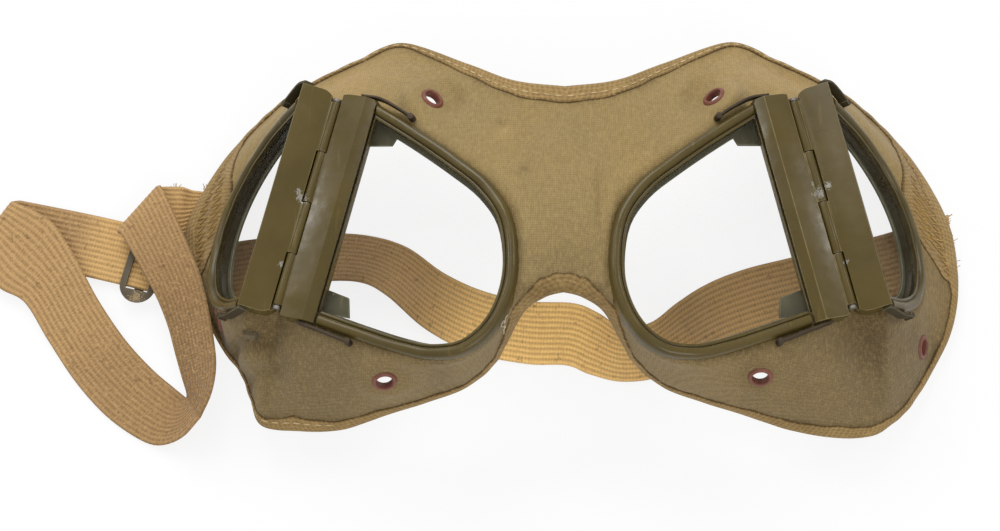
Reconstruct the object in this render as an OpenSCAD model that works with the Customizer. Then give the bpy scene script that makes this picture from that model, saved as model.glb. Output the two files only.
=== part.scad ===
// Tanker goggles with four flat panes: two front, two side, each side pair on a pinned hinge.
// They lie on their back, as they are put down on a table. X runs across the face, Y runs up the
// forehead and Z runs forward, away from the table. The origin is on the table under the nose.

/* [Lens frames] */
// Width of the rolled rim round a lens
rim_w = 3.6; // [2.8:0.1:4.4]
// Depth of the rolled rim
rim_d = 4.6; // [4:0.1:5.5]
// Thickness of a lens pane
pane_t = 1.7; // [1.2:0.1:2]
// How deep a pane sits in its groove
groove_in = 1.9; // [1.2:0.1:2.2]
// Free space round a pane in its groove
pane_gap = 0.12; // [0.05:0.01:0.2]
// Thickness of the rear retainer
retainer_t = 0.7; // [0.5:0.1:1]

/* [Hinge bars] */
// Length of a bar along the hinge
bar_len = 60; // [56:0.5:62]
// Width of the front bar's broad face
front_face_w = 6.4; // [5:0.1:8]
// Width of the side bar's broad face
side_face_w = 8; // [6.5:0.1:9]
// Thickness of the folded sheet
sheet_t = 0.8; // [0.5:0.1:1]
// Rounding of a bar's corners beside the hinge
bar_corner_r = 4; // [2:0.5:5]
// Radius of a hinge knuckle
knuckle_r = 1.15; // [1:0.05:1.3]
// Radius of the hinge pin
pin_r = 0.6; // [0.4:0.05:0.8]
// Running clearance of the pin, on the radius
pin_fit = 0.05; // [0.02:0.01:0.1]
// Number of knuckles on a hinge
knuckles = 4; // [4, 6, 8]

/* [Placing] */
// Distance of a hinge's middle from the nose
hinge_x = 65; // [64:0.5:67]
// Height of a hinge's middle above the table
hinge_z = 37; // [35:0.5:40]
// Lean of a hinge towards the nose at its upper end, degrees
hinge_lean = 14; // [12:0.5:16]
// Rise of a hinge towards its upper end, degrees
hinge_rise = 3; // [1:0.5:4]
// Slope of a front pane up to the nose, degrees
front_tilt = 12; // [10:0.5:14]
// Slope of a side pane down to the temple, degrees
side_fall = 55; // [52:0.5:57]

/* [Cloth] */
// Thickness of the mask cloth
cloth_t = 1; // [0.6:0.1:1.4]
// Thickness of the soft lining
lining_t = 1.3; // [0.8:0.1:1.8]
// Width of the binding tape on each side
binding_w = 5; // [3.5:0.5:6]
// Thickness of one ply of the binding tape
tape_t = 0.5; // [0.3:0.1:0.8]
// Outer radius of an eyelet
eyelet_r = 3.2; // [3:0.1:4]
// Radius of an eyelet's hole
eyelet_hole_r = 1.9; // [1.5:0.1:2.3]

/* [Strap] */
// Width of the strap's slot in the slider
slot_w = 19; // [18:0.5:22]
// Thickness of the elastic strap
strap_t = 1.2; // [1:0.1:1.3]
// Thickness of the slider's metal
slider_t = 1; // [0.7:0.1:1.2]

/* [Hidden] */
SIDES = ["left", "right"];
SIDE_PARTS = [
    "front_frame", "front_retainer", "front_pane", "front_bar", "front_clips", "hinge_pin",
    "side_frame", "side_retainer", "side_pane", "side_bar", "side_clips",
    "wing_cloth", "wing_lining", "wing_binding", "wing_eyelet", "strap_end"
];

OLIVE = "#5d5630";
DARK = "#2b241c";
RETAINER = "#5b5b4c";
GLASS = [0.85, 0.88, 0.86, 0.35];
CLOTH = "#8a7850";
LINING = "#6f6245";
TAPE = "#94773f";
EYELET = "#6e3a30";
STRAP_TAN = "#b08a55";
STEEL = "#77766e";

hinge_y = -3.3;              // place of a hinge's middle up or down the face
half_bar = bar_len/2;
slot_half = half_bar - 3.2;  // half the length of a bar's slot for its pane
groove_t = pane_t + 2*pane_gap;
pane_n = -0.9 - groove_t/2;  // middle of a pane below its frame's face
bar_top = 0.6;               // height of a broad face's inner edge over the hinge axis
bar_clear = knuckle_r + 0.35;
bar_back = rim_d + 0.1;      // depth of a bar behind the hinge axis
butt = 0.2;                  // gap between a bar's wall and its frame's ends
bevel = [2.9, 2.2];          // run and drop of a bar's bevelled wall
stop_gap = 0.3;              // gap between the bars' facing walls at rest
side_wall = 1.5;             // place of the side bar's outer wall along the side pane
front_edge = bar_clear + front_face_w + bevel[0];
side_rise = 14;              // slope of the side bar's broad face, degrees
side_edge = [bar_clear + side_face_w*cos(side_rise), bar_top + side_face_w*sin(side_rise)];
side_off = side_edge[0] + 0.4;
total_t = cloth_t + lining_t;
lay = 0.05;                  // gap between plies that lie on each other
clip_w = 2.6;                // width of a spring clip's leaf
clip_t = 0.6;                // thickness of a spring clip's leaf

// Points and curves

function flat(v) = [for (a = v) each a];
function norm1(v) = v / norm(v);
function mix(a, b, t) = a + (b - a)*t;
function last(v) = len(v) - 1;

// A smooth open curve through a list of points, n steps from each to the next
function tangent(p, i) =
    i == 0 ? p[1] - p[0] : i == last(p) ? p[i] - p[i - 1] : (p[i + 1] - p[i - 1])/2;
function hermite(a, b, ta, tb, t) =
    a*(2*t*t*t - 3*t*t + 1) + ta*(t*t*t - 2*t*t + t) + b*(3*t*t - 2*t*t*t) + tb*(t*t*t - t*t);
function smooth(p, n) = concat(
    [for (i = [0:last(p) - 1], k = [0:n - 1])
        hermite(p[i], p[i + 1], tangent(p, i), tangent(p, i + 1), k/n)],
    [p[last(p)]]);

// The direction of a curve at a point, and a plane curve moved to the right of its direction
function along(p, i) = norm1(p[min(i + 1, last(p))] - p[max(i - 1, 0)]);
function outset(p, d) = [for (i = [0:last(p)]) let (t = along(p, i)) p[i] + d*[t[1], -t[0]]];

// Frames' outer edges, from the bar's lower end round to its upper end: distance from the bar's
// datum, place along a bar 60 mm long. Their outside is on the right.
FRONT_RIM = [
    [front_edge + butt, -30.2], [23, -31.9], [34, -33.1], [42.5, -33], [50.5, -30.2],
    [56, -23.8], [58.5, -14.5], [57.4, -4], [52.8, 6.8], [45, 14.2], [35, 19.4], [23, 24.6],
    [front_edge + butt, 29.2]
];
SIDE_RIM = [
    [side_wall + butt, -30.6], [10.5, -30.6], [19, -27.8], [25.3, -21.4], [28.6, -13.2],
    [29.2, -4.6], [27.2, 3.6], [23, 11], [17, 17.6], [10, 22.8], [side_wall + butt, 27.2]
];
function fitted(rim) = [for (p = rim) [p[0], p[1]*bar_len/60]];
rim_steps = 4;
front_curve = smooth(fitted(FRONT_RIM), rim_steps);
side_curve = smooth(fitted(SIDE_RIM), rim_steps);

// Where a point in a hinge's or a pane's own frame lies
function turn_x(p, a) = [p[0], p[1]*cos(a) - p[2]*sin(a), p[1]*sin(a) + p[2]*cos(a)];
function turn_y(p, a) = [p[0]*cos(a) + p[2]*sin(a), p[1], -p[0]*sin(a) + p[2]*cos(a)];
function turn_z(p, a) = [p[0]*cos(a) - p[1]*sin(a), p[0]*sin(a) + p[1]*cos(a), p[2]];
function hinge_pt(p) =
    turn_z(turn_x(p, hinge_rise), hinge_lean) + [hinge_x, hinge_y, hinge_z];
function front_pt(s, t, n) = hinge_pt(turn_y([-s, t, n], front_tilt));
function side_pt(s, t, n) = hinge_pt(turn_y([s, t, n], side_fall) + [side_off, 0, 0]);

module hinge_place()
    translate([hinge_x, hinge_y, hinge_z]) rotate([0, 0, hinge_lean])
        rotate([hinge_rise, 0, 0]) children();
module front_place() hinge_place() rotate([0, front_tilt, 0]) mirror([1, 0, 0]) children();
module side_place()
    hinge_place() translate([side_off, 0, 0]) rotate([0, side_fall, 0]) children();
module on_side(side) if (side == "left") children(); else mirror([1, 0, 0]) children();
module both_sides() {
    children();
    mirror([1, 0, 0]) children();
}

// Frames, retainers and panes

// A rim curve moved outwards, its ends kept clear of the bar
function trimmed(curve, d) = [for (p = outset(curve, d)) [max(p[0], curve[0][0]), p[1]]];

// A band along a rim curve, from d0 to d1 outside it, between heights n0 and n1
module band(curve, d0, d1, n0, n1)
    translate([0, 0, n0]) linear_extrude(n1 - n0)
        polygon(concat(trimmed(curve, d1),
                       [for (i = [last(curve):-1:0]) trimmed(curve, d0)[i]]));

// The area inside a rim curve, d outside it, its straight edge at s0
module inside(curve, d, s0, n0, n1) {
    c = trimmed(curve, d);
    translate([0, 0, n0]) linear_extrude(n1 - n0)
        polygon(concat([[s0, c[0][1]]], c, [[s0, c[last(c)][1]]]));
}

module frame(curve) color(OLIVE) difference() {
    union() {
        band(curve, -rim_w, 0, -rim_d, -0.7);
        band(curve, 0.5 - rim_w, -0.5, -0.71, 0);
    }
    inside(curve, groove_in - rim_w, -5, pane_n - groove_t/2, pane_n + groove_t/2);
}

// A pane fills its frame's groove, and a tongue of it goes through the bar's slot to s0
module pane(curve, s0) color(GLASS) {
    d = groove_in - rim_w - pane_gap;
    c = trimmed(curve, d);
    y0 = max(c[0][1], pane_gap - slot_half);
    y1 = min(c[last(c)][1], slot_half - pane_gap);
    inside(curve, d, curve[0][0], pane_n - pane_t/2, pane_n + pane_t/2);
    translate([s0, y0, pane_n - pane_t/2]) cube([curve[0][0] + 0.5 - s0, y1 - y0, pane_t]);
}

// Rear flange with a gusset tab in each corner beside the bar
module retainer(curve, tab) color(RETAINER) {
    s0 = curve[0][0];
    n0 = -rim_d - lay - retainer_t;
    band(curve, -rim_w - 1, 1 - rim_w, n0, n0 + retainer_t);
    for (end = [0, 1]) {
        edge = curve[end*last(curve)][1];
        dir = end == 0 ? 1 : -1;
        y0 = edge + dir*(rim_w + 0.5);
        translate([0, 0, n0]) linear_extrude(retainer_t)
            polygon([[s0, y0], [s0 + tab + 1.6, y0], [s0 + tab, y0 + dir*tab],
                     [s0, y0 + dir*(tab + 1.2)]]);
    }
}

// Hinge bars

// A bar's outline along the hinge, square at the pane, rounded beside the hinge
module bar_plan(w) linear_extrude(40, center = true) hull() for (y = [-1, 1]) {
    translate([bar_corner_r, y*(half_bar - bar_corner_r)]) circle(bar_corner_r, $fn = 48);
    translate([w - 1, y*(half_bar - 0.5)]) square(1, center = true);
}
module along_hinge(len)
    rotate([90, 0, 0]) translate([0, 0, -len/2]) linear_extrude(len) children();
module pane_slot() translate([0, -slot_half, pane_n - groove_t/2])
    cube([4, 2*slot_half, groove_t]);

// Below the knuckles the two bars face each other across stop_gap, and stop the fold there
function front_wall(n) = (stop_gap/2 + n*sin(front_tilt))/cos(front_tilt);
// Front bar: its section in the front pane's frame, s from the hinge and n from the face
front_section = [
    [bar_clear, bar_top], [bar_clear + front_face_w, bar_top + 0.7],
    [front_edge, bar_top + 0.7 - bevel[1]], [front_edge, -bar_back],
    [front_wall(-bar_back), -bar_back], [front_wall(-bar_clear), -bar_clear],
    [bar_clear, -bar_clear]
];
front_hollow = [
    [bar_clear + sheet_t, bar_top - sheet_t],
    [bar_clear + front_face_w - 0.3, bar_top + 0.6 - sheet_t],
    [front_edge - sheet_t, bar_top + 0.3 - bevel[1]],
    [front_edge - sheet_t, sheet_t - bar_back], [bar_clear + sheet_t, sheet_t - bar_back]
];
// Side bar: its section in the hinge's frame
function side_at(s, n) = let (p = turn_y([s, 0, n], side_fall)) [p[0] + side_off, p[2]];
side_section = [
    [bar_clear, bar_top], side_edge, side_at(side_wall, -0.4), side_at(side_wall, -bar_back),
    [stop_gap/2, 0.3 - bar_back], [stop_gap/2, -bar_clear], [bar_clear, -bar_clear]
];
side_hollow = [
    [bar_clear + sheet_t, bar_top - sheet_t + 0.1], side_edge - [0.5, sheet_t + 0.1],
    side_at(side_wall - sheet_t, -0.9), side_at(side_wall - sheet_t, sheet_t - bar_back),
    [bar_clear + sheet_t, sheet_t - bar_back + 0.4]
];

row_len = bar_len - 5;
knuckle_pitch = row_len/knuckles;
knuckle_len = knuckle_pitch - 0.3;

// The knuckles of one leaf, with the webs that join them to their bar, in the hinge's frame
module knuckle_row(first, dir) for (i = [first:2:knuckles - 1])
    translate([0, (i + 0.5)*knuckle_pitch - row_len/2, 0]) {
        rotate([90, 0, 0]) cylinder(r = knuckle_r, h = knuckle_len, center = true, $fn = 48);
        translate([dir*(bar_clear + 0.4)/2, 0, bar_top/2 - 0.1])
            cube([bar_clear + 0.4, knuckle_len, bar_top + 0.2], center = true);
    }
module pin_hole() rotate([90, 0, 0])
    cylinder(r = pin_r + pin_fit, h = bar_len + 4, center = true, $fn = 48);

module front_bar() color(OLIVE) difference() {
    union() {
        rotate([0, front_tilt, 0]) mirror([1, 0, 0]) intersection() {
            along_hinge(bar_len) polygon(front_section);
            translate([stop_gap/2 - 1, 0, 0]) bar_plan(front_edge - stop_gap/2 + 1.01);
        }
        knuckle_row(0, -1);
    }
    rotate([0, front_tilt, 0]) mirror([1, 0, 0]) {
        along_hinge(bar_len - 2*sheet_t) polygon(front_hollow);
        translate([front_edge - 2, 0, 0]) pane_slot();
    }
    pin_hole();
}

module side_bar() color(OLIVE) difference() {
    union() {
        intersection() {
            along_hinge(bar_len) polygon(side_section);
            translate([stop_gap/2, 0, 0]) bar_plan(side_off - stop_gap/2 + 3.5);
        }
        knuckle_row(1, 1);
    }
    along_hinge(bar_len - 2*sheet_t) polygon(side_hollow);
    translate([side_off, 0, 0]) rotate([0, side_fall, 0])
        translate([-0.6, 0, 0]) pane_slot();
    pin_hole();
}

module hinge_pin() color(STEEL) rotate([90, 0, 0]) {
    cylinder(r = pin_r, h = row_len + 1.4, center = true, $fn = 48);
    for (z = [-1, 1]) translate([0, 0, z*(row_len/2 + 0.55)])
        cylinder(r = pin_r + 0.35, h = 0.7, center = true, $fn = 48);
}

// Spring clips: a leaf from the bar's end over the outer edge of the frame, its end curled.
// Its path is given as distance from the bar's datum and distance beyond the bar's end.
module clip(path, end, n0) {
    p = [for (q = path) [q[0], end*(half_bar + q[1])]];
    c = smooth(p, 5);
    translate([0, 0, n0]) linear_extrude(clip_w) {
        polygon(concat(outset(c, clip_t/2),
                       [for (i = [last(c):-1:0]) outset(c, -clip_t/2)[i]]));
        translate(p[last(p)]) circle(0.85, $fn = 32);
    }
}
module front_clips() color(DARK) {
    clip([[bar_clear + 4.5, 0.55], [front_edge + 0.3, 0.6], [16.5, -1.1], [20.5, -2.8]], 1, -2.3);
    clip([[bar_clear + 4.5, 0.55], [front_edge + 0.3, 1.3], [16, 2.2], [20.5, 3]], -1, -2.3);
}
module side_clips() color(DARK) {
    clip([[-2.4, 0.55], [1.5, 0.5], [4.6, -1.2], [8, -4]], 1, -1.8);
    clip([[-2.4, 0.55], [1.5, 1.4], [5, 2.2], [9, 2]], -1, -1.8);
}

// Mask: cloth, lining and binding

// Each row joins a point on a frame's outer edge, given by its place in the rim curve, to a point
// on the mask's edge. The last value says how flat the cloth runs out: 1 level with its far end,
// less where it turns down.
cloth_n = -2.4;              // height of the cloth at the frames
cloth_off = 0.35;            // gap between a frame and the cloth's inner edge
bar_off = 0.8;               // gap between a bar's end and the cloth's inner edge
cut = 0.25;                  // half the gap between the middle cloth and a wing
lining_in = 3.4;             // distance of the lining's inner edge from the cloth's
wing_lining_in = 2.4;        // and of a wing's lining
function front_row(i, rim, level) = let (p = outset(front_curve, cloth_off)[i])
    [front_pt(p[0], p[1], cloth_n), rim, level];
function side_row(i, rim, level) = let (p = outset(side_curve, cloth_off)[i])
    [side_pt(p[0], p[1], cloth_n), rim, level];
function front_corner(rim) =
    [front_pt(front_curve[0][0] + 0.3, half_bar + bar_off, cloth_n), rim, 0.2];
function side_corner(rim) =
    [side_pt(side_curve[0][0] + 0.3, half_bar + bar_off, cloth_n), rim, 0.2];
out_dir = [cos(hinge_lean), sin(hinge_lean), 0];
function hinge_row(end, dx, rim) =
    [hinge_pt([1 + dx, end*(half_bar + bar_off), -4.2]), rim + dx*out_dir, 0.2];
LOW_CORNER = [78, -57, 10];
HIGH_CORNER = [64.5, 38, 19.5];
NOSE_EDGE = [0, -29.6, 45.4];
BROW_EDGE = [0, 26.2, 42.6];
cheek_rows = [
    hinge_row(-1, -cut, LOW_CORNER),
    front_row(0, [69, -58, 11.8], 0.2),
    front_row(4, [57, -56.2, 13.2], 0.2),
    front_row(8, [45.5, -52.7, 15], 0.2),
    front_row(12, [35, -49.6, 16.8], 0.2),
    front_row(16, [25, -46.4, 19.5], 0.2),
    front_row(20, [17.8, -41.8, 24.5], 0.2),
    front_row(22, [13.6, -36.4, 31], 0.25),
    front_row(24, [9.4, -31.8, 37.8], 0.4),
    front_row(26, [4.4, -30.2, 43], 0.7),
    front_row(28, NOSE_EDGE, 1)
];
brow_rows = [
    front_row(37, BROW_EDGE, 1),
    front_row(40, [13, 29, 39.8], 0.6),
    front_row(42, [25.5, 36.6, 32.6], 0.35),
    front_row(45, [43, 45.4, 25], 0.2),
    front_corner([54.5, 42, 22]),
    hinge_row(1, -cut, HIGH_CORNER)
];
wing_rows = [
    hinge_row(1, cut, HIGH_CORNER),
    side_corner([70.4, 35.8, 16.4]),
    side_row(39, [75, 34, 13.2], 0.2),
    side_row(36, [82, 30, 8], 0.2),
    side_row(32, [90, 22.6, 4.4], 0.2),
    side_row(28, [97, 12, 3.6], 0.2),
    side_row(24, [101.4, 1.5, 3.6], 0.2),
    side_row(20, [102.8, -8, 3.6], 0.2),
    side_row(16, [102.6, -18, 3.6], 0.2),
    side_row(12, [100.2, -28, 3], 0.2),
    side_row(8, [95, -38, 3.8], 0.2),
    side_row(4, [88.4, -48.4, 6.6], 0.2),
    side_row(0, [83, -53.8, 8.6], 0.2),
    hinge_row(-1, cut, LOW_CORNER)
];
// The right side's lower lobe is turned in under the strap, so its edge lies further in
TURNED_CORNER = [77.8, -54.2, 9.6];
right_cheek_rows = concat(
    [hinge_row(-1, -cut, TURNED_CORNER), front_row(0, [69, -56, 10.8], 0.2)],
    [for (i = [2:last(cheek_rows)]) cheek_rows[i]]);
right_wing_rows = concat(
    [for (i = [0:6]) wing_rows[i]],
    [side_row(20, [100.6, -8.6, 3.8], 0.2),
     side_row(16, [97.2, -17, 4.6], 0.2),
     side_row(12, [93.4, -25.4, 5.4], 0.2),
     side_row(8, [89, -33, 6.2], 0.2),
     side_row(4, [83.6, -40, 7.4], 0.2),
     side_row(0, [80.6, -47.4, 8.4], 0.2),
     hinge_row(-1, cut, TURNED_CORNER)]);

// A seam is the cloth between a frame and a bound edge: its inner edge, its outer edge at the
// binding, how flat it runs, the mask's edge, and the way in from that edge
cols = 3;                    // steps from each row to the next
function on_middle(p) = abs(p[0]) < 0.001;
function at_cut(rim, i) = (i == 0 || i == last(rim)) && !on_middle(rim[i]);
function from_cut(rim, i) = min(at_cut(rim, 0) ? i : cols, at_cut(rim, last(rim)) ?
    last(rim) - i : cols, cols)/cols;
function inward(f, rim, i) = let (d = f[i] - rim[i], t = along(rim, i))
    norm1(on_middle(rim[i]) ? [0, d[1], d[2]] : d - from_cut(rim, i)*(d*t)*t);
function levels(rows) = [for (i = [0:last(rows)*cols]) let (a = floor(i/cols))
    mix(rows[a][2], rows[min(a + 1, last(rows))][2], i/cols - a)];
function seam(rows) = let (f = smooth([for (r = rows) r[0]], cols),
    rim = smooth([for (r = rows) r[1]], cols), in = [for (i = [0:last(rim)]) inward(f, rim, i)])
    [f, [for (i = [0:last(rim)]) rim[i] + (binding_w + lay)*in[i]], levels(rows), rim, in];
cheek = seam(cheek_rows);
brow = seam(brow_rows);
wing = seam(wing_rows);
right_cheek = seam(right_cheek_rows);
right_wing = seam(right_wing_rows);
// Over the nose the cloth meets its mirrored half, and has no binding
nose_rows = [
    front_row(28, cheek[1][last(cheek[1])], 1),
    front_row(30, [0, -16, 48.4], 1),
    front_row(32, [0, -3, 49], 1),
    front_row(34, [0, 11, 47.4], 1),
    front_row(37, brow[1][0], 1)
];
nose = [smooth([for (r = nose_rows) r[0]], cols), smooth([for (r = nose_rows) r[1]], cols),
        levels(nose_rows)];
// The middle cloth on one side as one seam: that side's cheek, then nose and brow
function joined(s, k) = concat([for (i = [0:last(s[k]) - 1]) s[k][i]], nose[k],
    [for (i = [1:last(brow[k])]) brow[k][i]]);
function middle(s) = [joined(s, 0), joined(s, 1), joined(s, 2), joined(s, 1)];

// Cloth point in column i of a seam, at v from the frame (0) to the binding (1)
function cloth_pt(s, i, v) = let (a = s[0][i], b = s[1][i], d = b - a,
    m = a + [d[0]/2, d[1]/2, d[2]*s[2][i]])
    a*(1 - v)*(1 - v) + m*2*v*(1 - v) + b*v*v;
// A face's outward direction, kept in the middle plane over the nose. Beside the hinge it is square
// to the cut, so that the solids on both sides of the cut have the same one.
function upward(n, p) = let (up = n[2] < 0 ? -n : n)
    norm1(on_middle(p) ? [0, up[1], up[2]] : up);
function cloth_normal(s, i, v) = let (
    du = cloth_pt(s, min(i + 1, last(s[0])), v) - cloth_pt(s, max(i - 1, 0), v),
    dv = cloth_pt(s, i, min(v + 0.02, 1)) - cloth_pt(s, i, max(v - 0.02, 0)),
    cut_here = len(s) > 3 && at_cut(s[3], i))
    upward(cross(dv, cut_here ? out_dir : du), cloth_pt(s, i, v));

// Points of a seam's cloth at a depth below its face, and of its binding
cloth_steps = 4;
function cloth_grid(s, depth, back) = [for (i = [0:last(s[0])]) let (
    p = [for (k = [0:cloth_steps]) let (v = k/cloth_steps)
        cloth_pt(s, i, v) - depth*cloth_normal(s, i, v)])
    [for (k = [0:cloth_steps]) k > 0 ? p[k] : mix(p[0], p[1], back/norm(p[1] - p[0]))]];
function binding_grid(s, depth) = [for (i = [0:last(s[3])])
    let (t = at_cut(s[3], i) ? out_dir : along(s[3], i), n = upward(cross(t, s[4][i]), s[3][i]))
    [s[3][i] + binding_w*s[4][i] - depth*n, s[3][i] - depth*n]];

// A closed solid between two grids of points of the same size
module grid_solid(top, bottom) {
    nu = len(top);
    nv = len(top[0]);
    function at(i, k, low) = low*nu*nv + i*nv + k;
    function quad(a, b, c, d) = [[a, c, b], [a, d, c]];
    polyhedron(points = concat(flat(top), flat(bottom)), faces = concat(
        [for (i = [0:nu - 2], k = [0:nv - 2]) each concat(
            quad(at(i, k, 0), at(i + 1, k, 0), at(i + 1, k + 1, 0), at(i, k + 1, 0)),
            quad(at(i, k, 1), at(i, k + 1, 1), at(i + 1, k + 1, 1), at(i + 1, k, 1)))],
        [for (i = [0:nu - 2]) each concat(
            quad(at(i, 0, 0), at(i, 0, 1), at(i + 1, 0, 1), at(i + 1, 0, 0)),
            quad(at(i, nv - 1, 0), at(i + 1, nv - 1, 0), at(i + 1, nv - 1, 1), at(i, nv - 1, 1)))],
        [for (k = [0:nv - 2]) each concat(
            quad(at(0, k, 0), at(0, k + 1, 0), at(0, k + 1, 1), at(0, k, 1)),
            quad(at(nu - 1, k, 0), at(nu - 1, k, 1), at(nu - 1, k + 1, 1), at(nu - 1, k + 1, 0)))]));
}

module binding(s) color(TAPE)
    grid_solid(binding_grid(s, -tape_t), binding_grid(s, cloth_t + tape_t));

// Eyelets stand on the cloth's own slope: seam, column, place from the frame to the binding
MIDDLE_EYELETS = [[brow, 7, 0.55], [cheek, 9, 0.68]];
function wing_eyelet(side) = side == "left" ? [wing, 30, 0.72] : [right_wing, 30, 0.6];
module at_eyelet(e) {
    n = cloth_normal(e[0], e[1], e[2]);
    translate(cloth_pt(e[0], e[1], e[2])) rotate([0, acos(n[2]), atan2(n[1], n[0])]) children();
}
module eyelet_hole(e) at_eyelet(e)
    cylinder(r = eyelet_hole_r + 0.55, h = 12, center = true, $fn = 32);
module eyelet(e) color(EYELET) at_eyelet(e) {
    back = -total_t - 0.2;
    rotate_extrude($fn = 48) polygon([
        [eyelet_hole_r, back - 0.4], [eyelet_r - 0.4, back - 0.4], [eyelet_r - 0.4, back],
        [eyelet_hole_r + 0.45, back], [eyelet_hole_r + 0.45, 0.2], [eyelet_r, 0.2],
        [eyelet_r - 0.2, 0.6], [eyelet_hole_r + 0.3, 0.7], [eyelet_hole_r, 0.4]
    ]);
}

// What a frame takes up, so that the cloth stops at its outer wall and the lining short of it
module frame_room(curve, back) let (off = back > 0 ? lay : 3*lay)
    inside(curve, back > 0 ? 0.9 : off, -5, -rim_d - off, 1);
module middle_ply(top, low, back) difference() {
    union() for (side = SIDES) on_side(side) {
        s = middle(side == "left" ? cheek : right_cheek);
        grid_solid(cloth_grid(s, top, back), cloth_grid(s, low, back));
    }
    if (back == 0) both_sides() front_place() frame_room(front_curve, back);
    both_sides() for (e = MIDDLE_EYELETS) eyelet_hole(e);
}
module wing_ply(side, top, low, back) difference() {
    s = side == "left" ? wing : right_wing;
    grid_solid(cloth_grid(s, top, back), cloth_grid(s, low, back));
    side_place() frame_room(side_curve, back);
    eyelet_hole(wing_eyelet(side));
}
module mask_cloth() color(CLOTH) middle_ply(0, cloth_t, 0);
module mask_lining() color(LINING) middle_ply(cloth_t + lay, total_t, lining_in);
module mask_eyelets() both_sides() for (e = MIDDLE_EYELETS) eyelet(e);
module forehead_binding() both_sides() binding(brow);
module nose_binding() for (side = SIDES) on_side(side)
    binding(side == "left" ? cheek : right_cheek);
module wing_cloth(side) color(CLOTH) wing_ply(side, 0, cloth_t, 0);
module wing_lining(side) color(LINING) wing_ply(side, cloth_t + lay, total_t, wing_lining_in);

// Strap and slider

// The strap's crossings from the left temple to the right temple. Each is a line across the band:
// its edge that starts towards the forehead, then its other edge. Flat on the table, z is half
// the strap's thickness.
fl = strap_t/2;
hi = slider_t + 0.25 + strap_t/2;
LEFT_END = [
    [[101.5, 6, fl], [102.5, -11, fl]],
    [[95, 4.2, fl], [97, -13, fl]]
];
STRAP = [
    [[94.6, 4.1, fl], [96.6, -13.1, fl]],
    [[84, 0.5, fl], [88, -16.5, fl]],
    [[72, -2.6, fl], [77, -19.5, fl]],
    [[60, -5.8, fl], [64, -22.8, fl]],
    [[47, -9.2, fl], [53, -26.2, fl]],
    [[36.5, -13.6, fl], [42, -30, fl]],
    [[29, -19.5, 4], [32.5, -34.8, fl]],
    [[22, -25.8, 7], [23.5, -39, fl]],
    [[14.5, -26.6, 6], [14.2, -40, fl]],
    [[8.5, -21.8, 2.2], [6, -38, fl]],
    [[2, -18.6, fl], [0, -35.6, fl]],
    [[-10, -18, fl], [-10.5, -35.2, fl]],
    [[-22, -15.2, fl], [-25, -32.2, 1]],
    [[-32.5, -10.2, fl], [-37, -26.4, 3]],
    [[-42.5, -3, fl], [-47, -18.4, 6.5]],
    [[-52.5, 0.2, fl], [-54, -15, 7.5]],
    [[-64, 1, fl], [-64, -14.6, 7]],
    [[-76, 0.2, fl], [-74.5, -15.6, 4]],
    [[-86, -1, fl], [-86, -17.8, 0.9]],
    [[-93.6, -2.2, 0.65], [-97.6, -18.8, 0.65]],
    [[-102.2, -0.1, 1], [-106.2, -16.7, 1]],
    [[-110.7, 1.9, hi + 0.1], [-114.7, -14.7, hi + 0.1]],
    [[-118.7, 3.9, hi], [-122.7, -12.7, hi]],
    [[-126.6, 5.8, 1.7], [-130.6, -10.8, 1.7]],
    [[-138, 8.4, 1.1], [-144, -7.6, 1.1]],
    [[-147, 10.4, fl], [-156.6, -4.2, fl]],
    [[-148, 10, 1.3], [-157.6, -4.6, 1.3]],
    [[-148.2, 9.4, 2.6], [-157.8, -5.2, 2.4]],
    [[-146.6, 8.4, 3.8], [-156, -6.2, 3]],
    [[-137, 2.8, 4.8], [-150.4, -14.6, 2.8]],
    [[-129.4, -8.2, 4.8], [-143.2, -18.8, 2.2]],
    [[-123.2, -18.8, 3.6], [-136.4, -29, 1.2]],
    [[-116, -28.8, 1.6], [-128.6, -40, fl]],
    [[-108.6, -36.6, fl], [-120.2, -49, fl]],
    [[-102.4, -41.8, fl], [-111.8, -55, fl]],
    [[-100.2, -43.6, 0.9], [-105.6, -57.4, 1.6]],
    [[-99.2, -44.4, 1.2], [-99.2, -56.4, 5.6]],
    [[-98.6, -44.5, 1.65], [-93.75, -52.75, 11.45]]
];
// From the roll on, the strap goes with the right side, to which its end is sewn
RIGHT_END = [
    [[-98.6, -44.15, 2.1], [-93.45, -52.45, 11.75]],
    [[-98.8, -43.2, 2.9], [-90.6, -46.8, 14.4]],
    [[-99.8, -40.4, 4.2], [-89.6, -39.8, 15]],
    [[-101.8, -34, 5.8], [-90.6, -32.2, 14.8]],
    [[-104, -26.8, 7], [-92.6, -23.4, 14]],
    [[-107.4, -19, 7.8], [-95.4, -14.2, 12]],
    [[-112.4, -10.2, 8], [-99.4, -5, 9.6]],
    [[-117.6, -1.8, 7.8], [-107.2, 10.8, 8]],
    [[-118.8, -0.8, 7.2], [-108.6, 12, 7.2]],
    [[-118.8, -0.8, 6.1], [-108.6, 12.2, 6.1]],
    [[-117.4, -1.2, 5.2], [-107.8, 12.6, 5.2]],
    [[-108.6, -3.2, 4.9], [-105.4, 12.8, 4.6]],
    [[-104.6, -3.2, 4.8], [-102.8, 12.9, 4.2]],
    [[-101.8, -0.9, 2.6], [-100.6, 12.9, 1.6]],
    [[-99.3, 0.4, 1.5], [-98.3, 12.8, 0.9]],
    [[-94.5, -0.8, fl], [-93.8, 12.4, fl]]
];

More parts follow.
